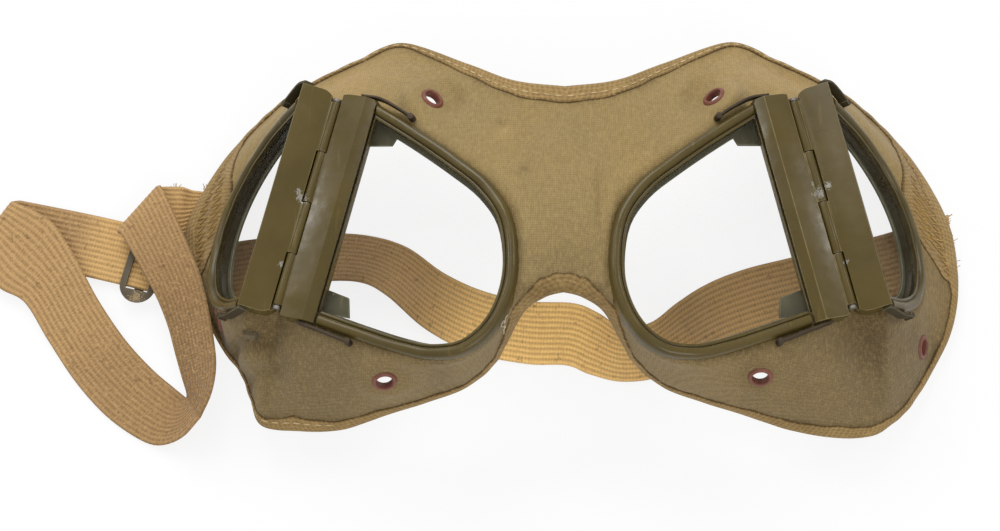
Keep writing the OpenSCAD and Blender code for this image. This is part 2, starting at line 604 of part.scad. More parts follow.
// A band of even thickness along a list of crossings, n steps from each to the next
function strap_edge(rows, end, n) = [for (p = smooth([for (r = rows) r[end]], n))
    [p[0], p[1], max(p[2], fl)]];
module strap_band(rows, n) color(STRAP_TAN) {
    a = strap_edge(rows, 0, n);
    b = strap_edge(rows, 1, n);
    up = [for (i = [0:last(a)]) norm1(cross(b[i] - a[i], along(a, i) + along(b, i)))*fl];
    grid_solid([for (i = [0:last(a)]) [a[i] - up[i], b[i] - up[i]]],
               [for (i = [0:last(a)]) [a[i] + up[i], b[i] + up[i]]]);
}

// Slider: an oval with two slots. Its middle bar passes under the strap and its rails over it.
slider_at = [-111.4, -6.5, 0];
slider_turn = 166.4;
slider_wide = 9.5;
rail_w = 1.7;
module slider_oval() hull() for (y = [-1, 1])
    translate([0, y*(slot_w/2 + rail_w + 1.6 - slider_wide/2), 0])
        circle(slider_wide/2, $fn = 48);
module strap_slider() color(DARK) translate(slider_at) rotate([0, 0, slider_turn]) {
    rail_z = slider_t + strap_t + 0.5;
    difference() {
        translate([0, 0, rail_z]) linear_extrude(slider_t) slider_oval();
        translate([0, 0, rail_z + slider_t/2])
            cube([slider_wide - 2*rail_w, slot_w, 4], center = true);
    }
    for (y = [-1, 1]) translate([0, y*(slot_w/2 + 0.8), rail_z/2 + 0.01])
        cube([2.4, 1.4, rail_z], center = true);
    translate([0, 0, slider_t/2]) cube([2.4, slot_w + 3, slider_t], center = true);
}

// The whole object

module side_part(side, part) on_side(side) {
    if (part == "front_frame") front_place() frame(front_curve);
    if (part == "front_retainer") front_place() retainer(front_curve, 5);
    if (part == "front_pane") front_place() pane(front_curve, front_edge - 6);
    if (part == "front_bar") hinge_place() front_bar();
    if (part == "front_clips") front_place() front_clips();
    if (part == "hinge_pin") hinge_place() hinge_pin();
    if (part == "side_frame") side_place() frame(side_curve);
    if (part == "side_retainer") side_place() retainer(side_curve, 3);
    if (part == "side_pane") side_place() pane(side_curve, side_wall - 3);
    if (part == "side_bar") hinge_place() side_bar();
    if (part == "side_clips") side_place() side_clips();
    if (part == "wing_cloth") wing_cloth(side);
    if (part == "wing_lining") wing_lining(side);
    if (part == "wing_binding") binding(side == "left" ? wing : right_wing);
    if (part == "wing_eyelet") eyelet(wing_eyelet(side));
}

for (side = SIDES, part = SIDE_PARTS)
    side_part(side, part);
strap_band(LEFT_END, 1);  // left_strap_end
strap_band(RIGHT_END, 3);  // right_strap_end
mask_cloth();
mask_lining();
forehead_binding();
nose_binding();
mask_eyelets();
strap_band(STRAP, 3);  // strap
strap_slider();
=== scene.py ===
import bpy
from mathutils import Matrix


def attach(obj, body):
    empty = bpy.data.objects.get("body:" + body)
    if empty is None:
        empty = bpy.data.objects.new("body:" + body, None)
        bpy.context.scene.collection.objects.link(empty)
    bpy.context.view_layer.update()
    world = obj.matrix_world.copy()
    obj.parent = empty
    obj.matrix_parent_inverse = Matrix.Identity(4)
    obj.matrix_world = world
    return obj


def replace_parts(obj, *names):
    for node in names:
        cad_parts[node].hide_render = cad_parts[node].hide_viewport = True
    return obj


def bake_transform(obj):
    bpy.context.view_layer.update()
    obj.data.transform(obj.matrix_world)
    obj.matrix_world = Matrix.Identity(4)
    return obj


bl_info = {
    "name": "Tanker Goggles",
    "version": (1, 0, 0),
    "blender": (4, 5, 0),
    "location": "3D View > Sidebar > Goggles",
    "description": "Dresses the folding goggles: cloth mask, bound edges, frames and strap",
    "category": "Object",
}

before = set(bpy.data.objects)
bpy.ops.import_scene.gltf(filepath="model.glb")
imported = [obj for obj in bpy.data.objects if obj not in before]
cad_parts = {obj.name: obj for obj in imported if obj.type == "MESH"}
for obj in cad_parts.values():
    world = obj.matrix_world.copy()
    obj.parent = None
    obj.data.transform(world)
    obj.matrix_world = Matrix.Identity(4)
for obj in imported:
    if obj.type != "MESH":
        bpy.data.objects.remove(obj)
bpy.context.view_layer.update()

import functools
import math

import bmesh
import bpy
import numpy as np
from bpy.props import FloatProperty, FloatVectorProperty, PointerProperty
from mathutils import Matrix, Vector, noise

MM = 0.001

# Sizes of the part, in mm and degrees, as its source has them
HINGE_MIDDLE = np.array([65.0, -3.3, 37.0])
HINGE_WAY = [0.2416, -0.969, -0.0523]
HINGE_LEAN, HINGE_RISE, FRONT_TILT, SIDE_FALL = 14.0, 3.0, 12.0, 55.0
HALF_BAR = 30.0
# How far from the hinge the rims of the panes begin, and the side pane's own plane
FRONT_EDGE, SIDE_WALL, SIDE_OFF, BUTT = 10.8, 1.5, 9.663, 0.2
CLOTH_T, LINING_T, BINDING_W = 1.0, 1.3, 5.0
EYELET_HOLE_R = 1.9
STRAP_W, STRAP_T, STRAP_RIBS = 17.0, 1.2, 12
FLAT = STRAP_T / 2

FRONT_RIM = [
    (FRONT_EDGE + BUTT, -30.2), (23, -31.9), (34, -33.1), (42.5, -33), (50.5, -30.2), (56, -23.8),
    (58.5, -14.5), (57.4, -4), (52.8, 6.8), (45, 14.2), (35, 19.4), (23, 24.6),
    (FRONT_EDGE + BUTT, 29.2),
]
SIDE_RIM = [
    (SIDE_WALL + BUTT, -30.6), (10.5, -30.6), (19, -27.8), (25.3, -21.4), (28.6, -13.2),
    (29.2, -4.6), (27.2, 3.6), (23, 11), (17, 17.6), (10, 22.8), (SIDE_WALL + BUTT, 27.2),
]

# Each row of the mask: where it starts, the point on the mask's edge that it runs to, how flat it
# runs out, and how wide the tape shows there. A start is a number round a rim, or a corner.
LOW_CORNER, HIGH_CORNER = (78, -57, 10), (64.5, 38, 19.5)
NOSE_EDGE, BROW_EDGE = (0, -29.6, 45.4), (0, 26.2, 42.6)
CHEEK = [
    ("hinge", -1, LOW_CORNER, 0.2, 3.0), ("front", 0, (69, -58, 11.8), 0.2, 3.5),
    ("front", 1, (57, -56.2, 13.2), 0.2, 3.5), ("front", 2, (45.5, -52.7, 15), 0.2, 3.1),
    ("front", 3, (35, -49.6, 16.8), 0.2, 2.8), ("front", 4, (25, -46.4, 19.5), 0.2, 2.6),
    ("front", 5, (17.8, -41.8, 24.5), 0.2, 3.4), ("front", 5.5, (13.6, -36.4, 31), 0.25, 4.2),
    ("front", 6, (9.4, -31.8, 37.8), 0.4, 4.8), ("front", 6.5, (4.4, -30.2, 43), 0.7, 5.0),
    ("front", 7, NOSE_EDGE, 1, 5.0),
]
NOSE_RIDGE = [(0, -16, 48.4), (0, -3, 49), (0, 11, 47.4)]
NOSE = [("front", 7.5 + 0.5 * k, point, 1, 0) for k, point in enumerate(NOSE_RIDGE)]
BROW = [
    ("front", 9.25, BROW_EDGE, 1, 5.0), ("front", 10, (13, 29, 39.8), 0.6, 4.6),
    ("front", 10.5, (25.5, 36.6, 32.6), 0.35, 3.2), ("front", 11.25, (43, 45.4, 25), 0.2, 1.7),
    ("front corner", 1, (54.5, 42, 22), 0.2, 1.5), ("hinge", 1, HIGH_CORNER, 0.2, 1.6),
]
WING_TOP = [
    ("side corner", 1, (70.4, 35.8, 16.4), 0.2, 1.8), ("side", 9.75, (75, 34, 13.2), 0.2, 1.9),
    ("side", 9, (82, 30, 8), 0.2, 2.2), ("side", 8, (90, 22.6, 4.4), 0.2, 3.2),
    ("side", 7, (97, 12, 3.6), 0.2, 4.6),
]
WING = WING_TOP + [
    ("side", 6, (101.4, 1.5, 3.6), 0.2, 4.9), ("side", 5, (102.8, -8, 3.6), 0.2, 4.4),
    ("side", 4, (102.6, -18, 3.6), 0.2, 2.6), ("side", 3, (100.2, -28, 3), 0.2, 2.3),
    ("side", 2, (95, -38, 3.8), 0.2, 2.3), ("side", 1, (88.4, -48.4, 6.6), 0.2, 2.4),
    ("side", 0, (83, -53.8, 8.6), 0.2, 2.5),
]
# The right side's lower lobe is turned in under the strap
TURNED_CORNER = (77.8, -54.2, 9.6)
RIGHT_CHEEK = [
    ("hinge", -1, TURNED_CORNER, 0.2, 2.8), ("front", 0, (69, -56, 10.8), 0.2, 4.4), *CHEEK[2:],
]
RIGHT_WING = WING_TOP + [
    ("side", 6, (101.4, 1.5, 3.6), 0.2, 4.9), ("side", 5, (100.6, -8.6, 3.8), 0.2, 4.2),
    ("side", 4, (97.2, -17, 4.6), 0.2, 2.0), ("side", 3, (93.4, -25.4, 5.4), 0.2, 1.6),
    ("side", 2, (89, -33, 6.2), 0.2, 1.6), ("side", 1, (83.6, -40, 7.4), 0.2, 1.6),
    ("side", 0, (80.6, -47.4, 8.4), 0.2, 1.6),
]

# The mask's columns for each row, and the rings of points from the frames to the edge
COLS, RINGS = 12, 30
# The cloth's inner edge: how far off the rim's curve and how deep it lies
EDGE_OFF, EDGE_DEPTH = -0.12, -2.7
# Where the cloth starts past the bars' ends: at the hinge, and at the corners of the panes
HINGE_START, CORNER_ALONG, CORNER_DEPTH = (1.0, HALF_BAR - 6.5, -4.8), HALF_BAR - 2.5, -5.0
# Rows of the wing between which the strap's end is sewn on
SEWN_FROM, SEWN_TO = 2.6, 6.7
# An eyelet's hole in the cloth, and how far round it the cloth lies flat and then runs out
HOLE_R, FLAT_ROUND, RUN_OUT = EYELET_HOLE_R + 0.6, 9.5, 5.5
# Soft folds pressed into the cloth: ends in the plan, width and height, in mm
FOLDS = {
    "left": [
        ((9.2, 2), (10.2, -20), 1.5, -0.9), ((12.2, 0), (13.0, -18), 1.5, 0.55),
        ((66, -40), (84, -50), 2.2, 0.6), ((76, -33), (80, -52), 1.6, -0.8),
        ((58, -38), (64, -55), 2.4, 0.5), ((60, 31), (57, 41), 1.8, -0.4),
        ((84, -30), (96, -30), 1.8, -0.5),
    ],
    "right": [
        ((-9, 3), (-10, -12), 2.4, 0.25), ((-86, -35), (-72, -37.5), 1.3, -1.5),
        ((-85, -38.5), (-73, -40.8), 1.4, 1.1), ((-83, -44), (-69, -42.5), 1.7, -1.3),
        ((-79, -52), (-74, -40), 1.6, 0.8), ((-70, -36), (-66, -55), 1.9, 0.6),
        ((-62, 31), (-58, 40), 1.8, -0.4),
    ],
}
# Faded, dirty and shaded spots of the cloth: place in the plan, reach and strength
FADED = [(-57, 33, 13, 1), (55, 34, 15, 1), (66, -47, 9, 0.15), (-15, 14, 2.0, 1)]
DIRTY = [
    (75, -34, 8, 0.8), (-75, -34, 8, 0.8), (93, -22, 16, 0.35), (-92, -20, 16, 0.35),
    (0, -22, 9, 0.3), (-9.8, 2.9, 1.6, 0.6), (-16, 16.5, 1.2, 0.7), (-31, -49, 4, 0.5),
    (47, -47, 4, 0.4),
]
SHADED = [
    (84, -40, 12, 0.45), (66, -46, 14, 0.35), (-80, -37, 2.6, 0.5), (-71, -42, 3.5, 0.4),
    (-60, -45, 12, 0.3), (97, -12, 8, 0.4),
]
# Eyelets' places in the plan, and how far they lean along x and y
EYELETS = {
    "left": [(38.2, 25.3, -0.6, 0.25), (49.0, -47.4, -0.1, -0.05), (91.8, -33.6, 0.1, 0)],
    "right": [(34, 25.1, -0.6, 0.1), (44.8, -48.2, -0.2, 0.1), (89.5, -27, 0, 0)],
}
# An eyelet's section: distance from its axis, and height over the cloth
EYELET_SECTION = [
    (2.08, -1.5), (2.05, -1.2), (2.05, -0.2), (2.07, 0.25), (2.15, 0.52), (2.32, 0.66),
    (2.55, 0.66), (2.85, 0.5), (3.08, 0.22), (3.16, -0.05), (3.1, -0.25), (2.3, -0.25),
    (2.3, -1.3), (3.0, -1.3), (3.0, -1.5),
]
# The tape's section: share of its width, height over the edge, and painted shade in the fold where
# it meets the cloth
TAPE_SECTION = [
    (1.0, -0.25, 1.0), (0.985, 0.08, 1.0), (0.955, 0.26, 1.0), (0.925, 0.38, 0.15),
    (0.86, 0.5, 0.0), (0.7, 0.6, 0.0), (0.5, 0.66, 0.0), (0.32, 0.64, 0.0), (0.17, 0.52, 0.0),
    (0.06, 0.25, 0.0), (0.0, -0.2, 0.0), (-0.02, -0.7, 0.0), (0.03, -1.3, 0.0),
    (0.14, -1.75, 0.0), (0.35, -2.1, 0.1), (0.6, -2.35, 0.2), (0.8, -2.45, 0.3), (1.0, -2.5, 0.6),
]
# How many of its points lie on the face
TAPE_FACE = 10
# A frame's section: distance outside the rim's curve, and height over the pane's plane
FRAME_SECTION = [
    (0.0, -4.6), (0.02, -3.4), (0.02, -2.2), (0.0, -1.5), (-0.1, -1.0), (-0.3, -0.58),
    (-0.62, -0.25), (-1.05, -0.05), (-1.5, 0.0), (-1.95, -0.06), (-2.33, -0.26), (-2.58, -0.56),
    (-2.68, -0.86), (-2.76, -0.92), (-2.84, -0.84), (-3.1, -0.76), (-3.4, -0.78), (-3.58, -0.86),
    (-3.6, -0.98), (-1.75, -0.98), (-1.75, -2.78), (-3.3, -2.78), (-3.32, -4.6),
]
# Chipped paint: places and reaches
CHIPS = [
    ((-66.2, -2.5, 38), 3.2), ((-67.4, -0.5, 37.6), 2.2), ((64.2, -1.2, 38), 3.6),
    ((66.3, 0.8, 38), 2.6), ((62.4, 1.4, 37.6), 1.8), ((58.6, 22.5, 38.2), 1.6),
    ((-60.3, 17.5, 38.4), 1.5), ((-70.9, -19.5, 37), 1.9), ((70.3, -19, 37), 1.8),
    ((-13.4, -4.5, 48.5), 1.8), ((-80.2, -10, 38), 1.2), ((52.5, 12, 38.6), 1.3),
    ((-73.5, -33.4, 35), 1.8), ((74.3, -33.2, 35), 1.8),
]
SLIDER_CHIPS = [((-111, 4.5, 4), 4), ((-113.5, -18, 4), 5)]

# The strap's crossings: the edge that starts towards the forehead, then the other edge. A point
# without a height lies flat on the table; OVER_BAR is where the strap runs over the slider's bar.
OVER_BAR = 1.0 + 0.25 + FLAT
LEFT_END = [
    ((101.5, 6), (102.5, -11)), ((95, 4.2), (97, -13)),
]
UNDER_MASK = [
    ((94.6, 4.1), (96.6, -13.1)), ((84, 0.5), (88, -16.5)), ((72, -2.6), (77, -19.5)),
    ((60, -5.8), (64, -22.8)), ((47, -9.2), (53, -26.2)), ((36.5, -13.6), (42, -30)),
    ((29, -19.5, 4), (32.5, -34.8)), ((22, -25.8, 7), (23.5, -39)), ((14.5, -26.6, 6), (14.2, -40)),
    ((8.5, -21.8, 2.2), (6, -38)), ((2, -18.6), (0, -35.6)), ((-10, -18), (-10.5, -35.2)),
    ((-22, -15.2), (-25, -32.2, 1)), ((-32.5, -10.2), (-37, -26.4, 3)),
    ((-42.5, -3), (-47, -18.4, 6.5)), ((-52.5, 0.2), (-54, -15, 7.5)), ((-64, 1), (-64, -14.6, 7)),
    ((-76, 0.2), (-74.5, -15.6, 4)), ((-86, -1), (-86, -17.8, 0.9)),
    ((-93.6, -2.2, 0.65), (-97.6, -18.8, 0.65)), ((-102.2, -0.1, 1), (-106.2, -16.7, 1)),
    ((-110.7, 1.9, OVER_BAR + 0.1), (-114.7, -14.7, OVER_BAR + 0.1)),
    ((-118.7, 3.9, OVER_BAR), (-122.7, -12.7, OVER_BAR)),
    ((-126.6, 5.8, 1.7), (-130.6, -10.8, 1.7)), ((-138, 8.4, 1.1), (-144, -7.6, 1.1)),
]
RETURN = [
    ((-147, 10.4), (-156.6, -4.2)), ((-148, 10, 1.3), (-157.6, -4.6, 1.3)),
    ((-148.2, 9.4, 2.6), (-157.8, -5.2, 2.4)), ((-146.6, 8.4, 3.8), (-156, -6.2, 3)),
    ((-137, 2.8, 4.8), (-150.4, -14.6, 2.8)), ((-129.4, -8.2, 4.8), (-143.2, -18.8, 2.2)),
    ((-123.2, -18.8, 3.6), (-136.4, -29, 1.2)), ((-116, -28.8, 1.6), (-128.6, -40)),
    ((-108.6, -36.6), (-120.2, -49)), ((-102.4, -41.8), (-111.8, -55)),
    ((-100.2, -43.6, 0.9), (-105.6, -57.4, 1.6)), ((-99.2, -44.4, 1.2), (-99.2, -56.4, 5.6)),
]
ROLL = [
    ((-98.6, -44.3, 1.9), (-93.6, -52.6, 11.6)), ((-98.8, -43.2, 2.9), (-90.6, -46.8, 14.4)),
    ((-99.8, -40.4, 4.2), (-89.6, -39.8, 15)), ((-101.8, -34, 5.8), (-90.6, -32.2, 14.8)),
    ((-104, -26.8, 7), (-92.6, -23.4, 14)), ((-107.4, -19, 7.8), (-95.4, -14.2, 12)),
    ((-112.4, -10.2, 8), (-99.4, -5, 9.6)), ((-117.6, -1.8, 7.8), (-107.2, 10.8, 8)),
    ((-118.8, -0.8, 7.2), (-108.6, 12, 7.2)), ((-118.8, -0.8, 6.1), (-108.6, 12.2, 6.1)),
    ((-117.4, -1.2, 5.2), (-107.8, 12.6, 5.2)), ((-108.6, -3.2, 4.9), (-105.4, 12.8, 4.6)),
    ((-104.6, -3.2, 4.8), (-102.8, 12.9, 4.2)), ((-101.8, -0.9, 2.6), (-100.6, 12.9, 1.6)),
    ((-99.3, 0.4, 1.5), (-98.3, 12.8, 0.9)), ((-94.5, -0.8), (-93.8, 12.4)),
]
# Where the strap is worn dark (over 0), or painted paler as painted light, most of all in the
# mask's shadow (under 0): lengths and shares
STRAP_WEAR_AND_LIGHT = {
    "strap_left_end": ([0, 60], [-0.12, -0.3]),
    "strap_under_mask": (
        [0, 15, 30, 60, 75, 95, 110, 125, 145, 165, 175],
        [-0.35, -0.6, -1.0, -1.0, -0.3, -0.1, -0.1, -0.2, -0.45, -0.3, 0.1],
    ),
    "strap_return": ([0, 40, 75], [-0.05, -0.05, 0.1]),
    "strap_roll": ([0, 30, 55, 75, 100], [0.55, 0.6, 0.05, -0.28, 0.4]),
}
# The pulled thread on the right cheek
PULLED = [(16.9, -34.0), (15.6, -35.6), (16.6, -36.4), (14.9, -36.6), (15.6, -38.0), (14.0, -38.0),
          (13.6, -39.4)]


# Curves and places, in mm

def path_at(points, u):
    """Points at places u (0 to n - 1) on the smooth open curve through the given points."""
    p = np.asarray(points, float)
    last = len(p) - 1
    tangents = np.vstack([p[1] - p[0], (p[2:] - p[:-2]) / 2, p[last] - p[last - 1]])
    u = np.clip(np.atleast_1d(np.asarray(u, float)), 0, last)
    i = np.minimum(u.astype(int), last - 1)
    t = (u - i)[:, None]
    return (p[i] * (2 * t**3 - 3 * t**2 + 1) + tangents[i] * (t**3 - 2 * t**2 + t)
            + p[i + 1] * (3 * t**2 - 2 * t**3) + tangents[i + 1] * (t**3 - t**2))


def rim_at(rim, u, outside):
    """Places on a rim curve moved outwards, kept clear of the bar."""
    u = np.atleast_1d(np.asarray(u, float))
    a, b = path_at(rim, u - 0.02), path_at(rim, u + 0.02)
    along = b - a
    along /= np.linalg.norm(along, axis=1)[:, None]
    p = path_at(rim, u) + outside * np.stack([along[:, 1], -along[:, 0]], axis=1)
    p[:, 0] = np.maximum(p[:, 0], rim[0][0])
    return p


def turn(p, axis, degrees):
    """Points turned about an axis through the origin."""
    a = math.radians(degrees)
    c, s = math.cos(a), math.sin(a)
    i, j = {"X": (1, 2), "Y": (2, 0), "Z": (0, 1)}[axis]
    q = p.copy()
    q[:, i], q[:, j] = p[:, i] * c - p[:, j] * s, p[:, i] * s + p[:, j] * c
    return q


def hinge_place(p):
    """Places given from the hinge's middle, along and across it."""
    p = turn(np.atleast_2d(np.asarray(p, float)), "X", HINGE_RISE)
    return turn(p, "Z", HINGE_LEAN) + HINGE_MIDDLE


def pane_place(s, t, n, slant, off):
    """Places on a pane: away from the hinge, along it, and off the pane's plane."""
    p = np.stack(np.broadcast_arrays(np.asarray(s, float), t, n), axis=-1).reshape(-1, 3)
    return hinge_place(turn(p, "Y", slant) + np.array([off, 0, 0]))


def front_place(s, t, n):
    return pane_place(-np.asarray(s, float), t, n, FRONT_TILT, 0)


def side_place(s, t, n):
    return pane_place(s, t, n, SIDE_FALL, SIDE_OFF)


PANES = {"front": (FRONT_RIM, front_place), "side": (SIDE_RIM, side_place)}


def unit(v):
    return v / np.maximum(np.linalg.norm(v, axis=-1, keepdims=True), 1e-9)


def run_along(line):
    """The length from a line's first point to each of its points."""
    return np.concatenate([[0], np.linalg.norm(np.diff(line, axis=0), axis=1).cumsum()])


def eased(t):
    """A soft step from 0 to 1."""
    return t * t * (3 - 2 * t)


def wobble(p, scale, seed):
    """Smooth noise, -1 to 1, at points in mm; scale is its grain in mm."""
    off = Vector((seed * 17.3, seed * 5.7, seed * 9.1))
    return np.array([noise.noise(Vector(q) / scale + off) for q in p])


def mirrored(p, side):
    q = np.array(p, float)
    if side == "right":
        q[..., 0] *= -1
    return q


# Meshes

def stand(name, data):
    """A new object in the scene."""
    obj = bpy.data.objects.new(name, data)
    bpy.context.scene.collection.objects.link(obj)
    return obj


def new_piece(name, verts, faces, material, smooth=40, uv=None, facts=None):
    """A mesh object from points in mm. uv and facts hold one value for each point."""
    mesh = bpy.data.meshes.new(name)
    mesh.from_pydata((np.asarray(verts) * MM).tolist(), [], [tuple(map(int, f)) for f in faces])
    mesh.validate()
    for key, values in (facts or {}).items():
        layer = mesh.attributes.new(key, "FLOAT", "POINT")
        layer.data.foreach_set("value", np.asarray(values, np.float32))
    if uv is not None:
        corner = np.empty(len(mesh.loops), np.int32)
        mesh.loops.foreach_get("vertex_index", corner)
        layer = mesh.uv_layers.new(name="cloth")
        layer.data.foreach_set("uv", np.asarray(uv, np.float32)[corner].ravel())
    mesh.materials.append(material)
    return finish_mesh(stand(name, mesh), smooth)


def finish_mesh(obj, smooth):
    """Faces outwards, shading smooth across edges flatter than the given angle."""
    bm = bmesh.new()
    bm.from_mesh(obj.data)
    bmesh.ops.recalc_face_normals(bm, faces=bm.faces)
    for face in bm.faces:
        face.smooth = True
    limit = math.radians(smooth)
    for edge in bm.edges:
        edge.smooth = len(edge.link_faces) == 2 and edge.calc_face_angle(0) < limit
    bm.to_mesh(obj.data)
    bm.free()
    return obj


def skin_faces(rows, cols, close_rows=False, close_cols=False, first=0):
    """Quads over a grid of points, row by row."""
    faces = []
    for i in range(rows if close_rows else rows - 1):
        a, b = i * cols, (i + 1) % rows * cols
        for k in range(cols if close_cols else cols - 1):
            m = (k + 1) % cols
            faces.append((first + a + k, first + b + k, first + b + m, first + a + m))
    return faces


def tube_faces(rows, cols):
    """Quads over a row of closed rings, with a cap at each end."""
    caps = [tuple(range(cols))[::-1], tuple(range((rows - 1) * cols, rows * cols))]
    return skin_faces(rows, cols, close_cols=True) + caps


def eased_copy(name, node, material, width, segments=2, flat=True):
    """A copy of a metal node with every fold and edge eased, and marked there for worn paint and a
    painted highlight.
    """
    bm = bmesh.new()
    bm.from_mesh(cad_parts[node].data)
    bmesh.ops.remove_doubles(bm, verts=bm.verts, dist=2e-6)
    if flat:
        bmesh.ops.dissolve_limit(
            bm, angle_limit=math.radians(1.0), verts=bm.verts, edges=bm.edges)
    bmesh.ops.dissolve_degenerate(bm, dist=1e-6, edges=bm.edges)
    mesh = bpy.data.meshes.new(name)
    bm.to_mesh(mesh)
    bm.free()
    obj = stand(name, mesh)
    # The eased edges get the second place, which is read and then given up
    mesh.polygons.foreach_set("material_index", [0] * len(mesh.polygons))
    mesh.materials.append(material)
    mesh.materials.append(material)
    ease = obj.modifiers.new("Ease", "BEVEL")
    ease.width, ease.segments, ease.material = width * MM, segments, 1
    ease.limit_method, ease.angle_limit = "ANGLE", math.radians(28)
    ease.use_clamp_overlap = True
    apply_modifiers(obj)
    mesh = obj.data
    wear = mesh.attributes.new("wear", "FLOAT", "CORNER")
    edge = np.zeros(len(mesh.loops))
    for poly in mesh.polygons:
        edge[poly.loop_start:poly.loop_start + poly.loop_total] = poly.material_index
        poly.material_index = 0
    wear.data.foreach_set("value", edge)
    mesh.materials.pop()
    finish_mesh(obj, 30)
    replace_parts(obj, node)
    return obj


def apply_modifiers(obj):
    """Makes the evaluated shape the object's own mesh."""
    bpy.context.view_layer.update()
    graph = bpy.context.evaluated_depsgraph_get()
    mesh = bpy.data.meshes.new_from_object(obj.evaluated_get(graph))
    old = obj.data
    obj.modifiers.clear()
    obj.data = mesh
    mesh.name = old.name
    if old.users == 0:
        bpy.data.meshes.remove(old)


# Node trees and materials

def add_node(tree, kind, inputs=None, **settings):
    """A node with its settings, its inputs set to values or linked to sockets; its outputs."""
    node = tree.nodes.new(kind)
    for key, value in settings.items():
        setattr(node, key, value)
    for key, value in (inputs or {}).items():
        if isinstance(value, bpy.types.NodeSocket):
            tree.links.new(value, node.inputs[key])
        else:
            node.inputs[key].default_value = value
    return node.outputs


def scaled(color, *k):
    """A colour times one factor, or times three."""
    return tuple(c * f for c, f in zip(color, k * 3 if len(k) == 1 else k))


class Recipe:
    """A node material built step by step; each helper returns an output, coat() adds a tone."""

    def __init__(self, name, **values):
        self.material = bpy.data.materials.new(name)
        self.material.use_nodes = True
        self.tree = self.material.node_tree
        self.shader = self.tree.nodes["Principled BSDF"]
        self.coords = self.node("ShaderNodeTexCoord")["Object"]
        self.tone = None
        for key, value in values.items():
            self.shader.inputs[key.replace("_", " ")].default_value = value

    def node(self, kind, inputs=None, **settings):
        return add_node(self.tree, kind, inputs, **settings)

    def fact(self, name):
        return self.node("ShaderNodeAttribute", attribute_name=name)["Fac"]

    def uv(self):
        return self.node("ShaderNodeUVMap", uv_map="cloth")["UV"]

    def mapped(self, vector=None, scale=(1, 1, 1), turn=(0, 0, 0)):
        inputs = {"Vector": vector or self.coords, "Scale": scale, "Rotation": turn}
        return self.node("ShaderNodeMapping", inputs)["Vector"]

    def noise(self, scale, detail=3, rough=0.55, vector=None):
        inputs = {"Vector": vector or self.coords, "Scale": scale, "Detail": detail,
                  "Roughness": rough}
        return self.node("ShaderNodeTexNoise", inputs)["Fac"]

    def bands(self, period, vector, axis, warp=0.0, grain=1.0):
        inputs = {"Vector": vector, "Scale": math.pi / 10 / period, "Distortion": warp,
                  "Detail": 2, "Detail Scale": grain}
        return self.node("ShaderNodeTexWave", inputs, wave_type="BANDS", bands_direction=axis,
                         wave_profile="SIN")["Fac"]

    def calc(self, operation, a, b, clamp=False):
        return self.node("ShaderNodeMath", {0: a, 1: b}, operation=operation, use_clamp=clamp)[0]

    def add(self, a, b, clamp=False):
        return self.calc("ADD", a, b, clamp)

    def times(self, a, b):
        return self.calc("MULTIPLY", a, b)

    def most(self, a, b):
        return self.calc("MAXIMUM", a, b)

    def span(self, value, low, high, out_low=0.0, out_high=1.0):
        inputs = {"Value": value, "From Min": low, "From Max": high, "To Min": out_low,
                  "To Max": out_high}
        return self.node("ShaderNodeMapRange", inputs, clamp=True)["Result"]

    def blend(self, share, a, b):
        a, b = (x if isinstance(x, bpy.types.NodeSocket) else (*x, 1.0) for x in (a, b))
        return self.node("ShaderNodeMix", {0: share, 6: a, 7: b}, data_type="RGBA")[2]

    def base(self, share, a, b):
        self.tone = self.blend(share, a, b)

    def coat(self, share, color):
        """Another colour over the tone, by a share."""
        self.tone = self.blend(share, self.tone, color)

    def bump(self, height, strength, distance, under=None):
        inputs = {"Strength": strength, "Distance": distance * MM, "Height": height}
        if under is not None:
            inputs["Normal"] = under
        return self.node("ShaderNodeBump", inputs)["Normal"]

    def near(self, point, reach):
        """1 at a point in mm, falling to 0 at its reach."""
        inputs = {0: self.coords, 1: [x * MM for x in point]}
        far = self.node("ShaderNodeVectorMath", inputs, operation="DISTANCE")["Value"]
        return self.span(far, 0, reach * MM, 1, 0)

    def done(self, rough=None, normal=None):
        for key, value in (("Base Color", self.tone), ("Roughness", rough), ("Normal", normal)):
            if value is not None:
                self.tree.links.new(value, self.shader.inputs[key])
        return self.material


def fabric(name, rough, gleam):
    return Recipe(name, Roughness=rough, Specular_IOR_Level=gleam, Sheen_Weight=gleam,
                  Sheen_Roughness=0.5)


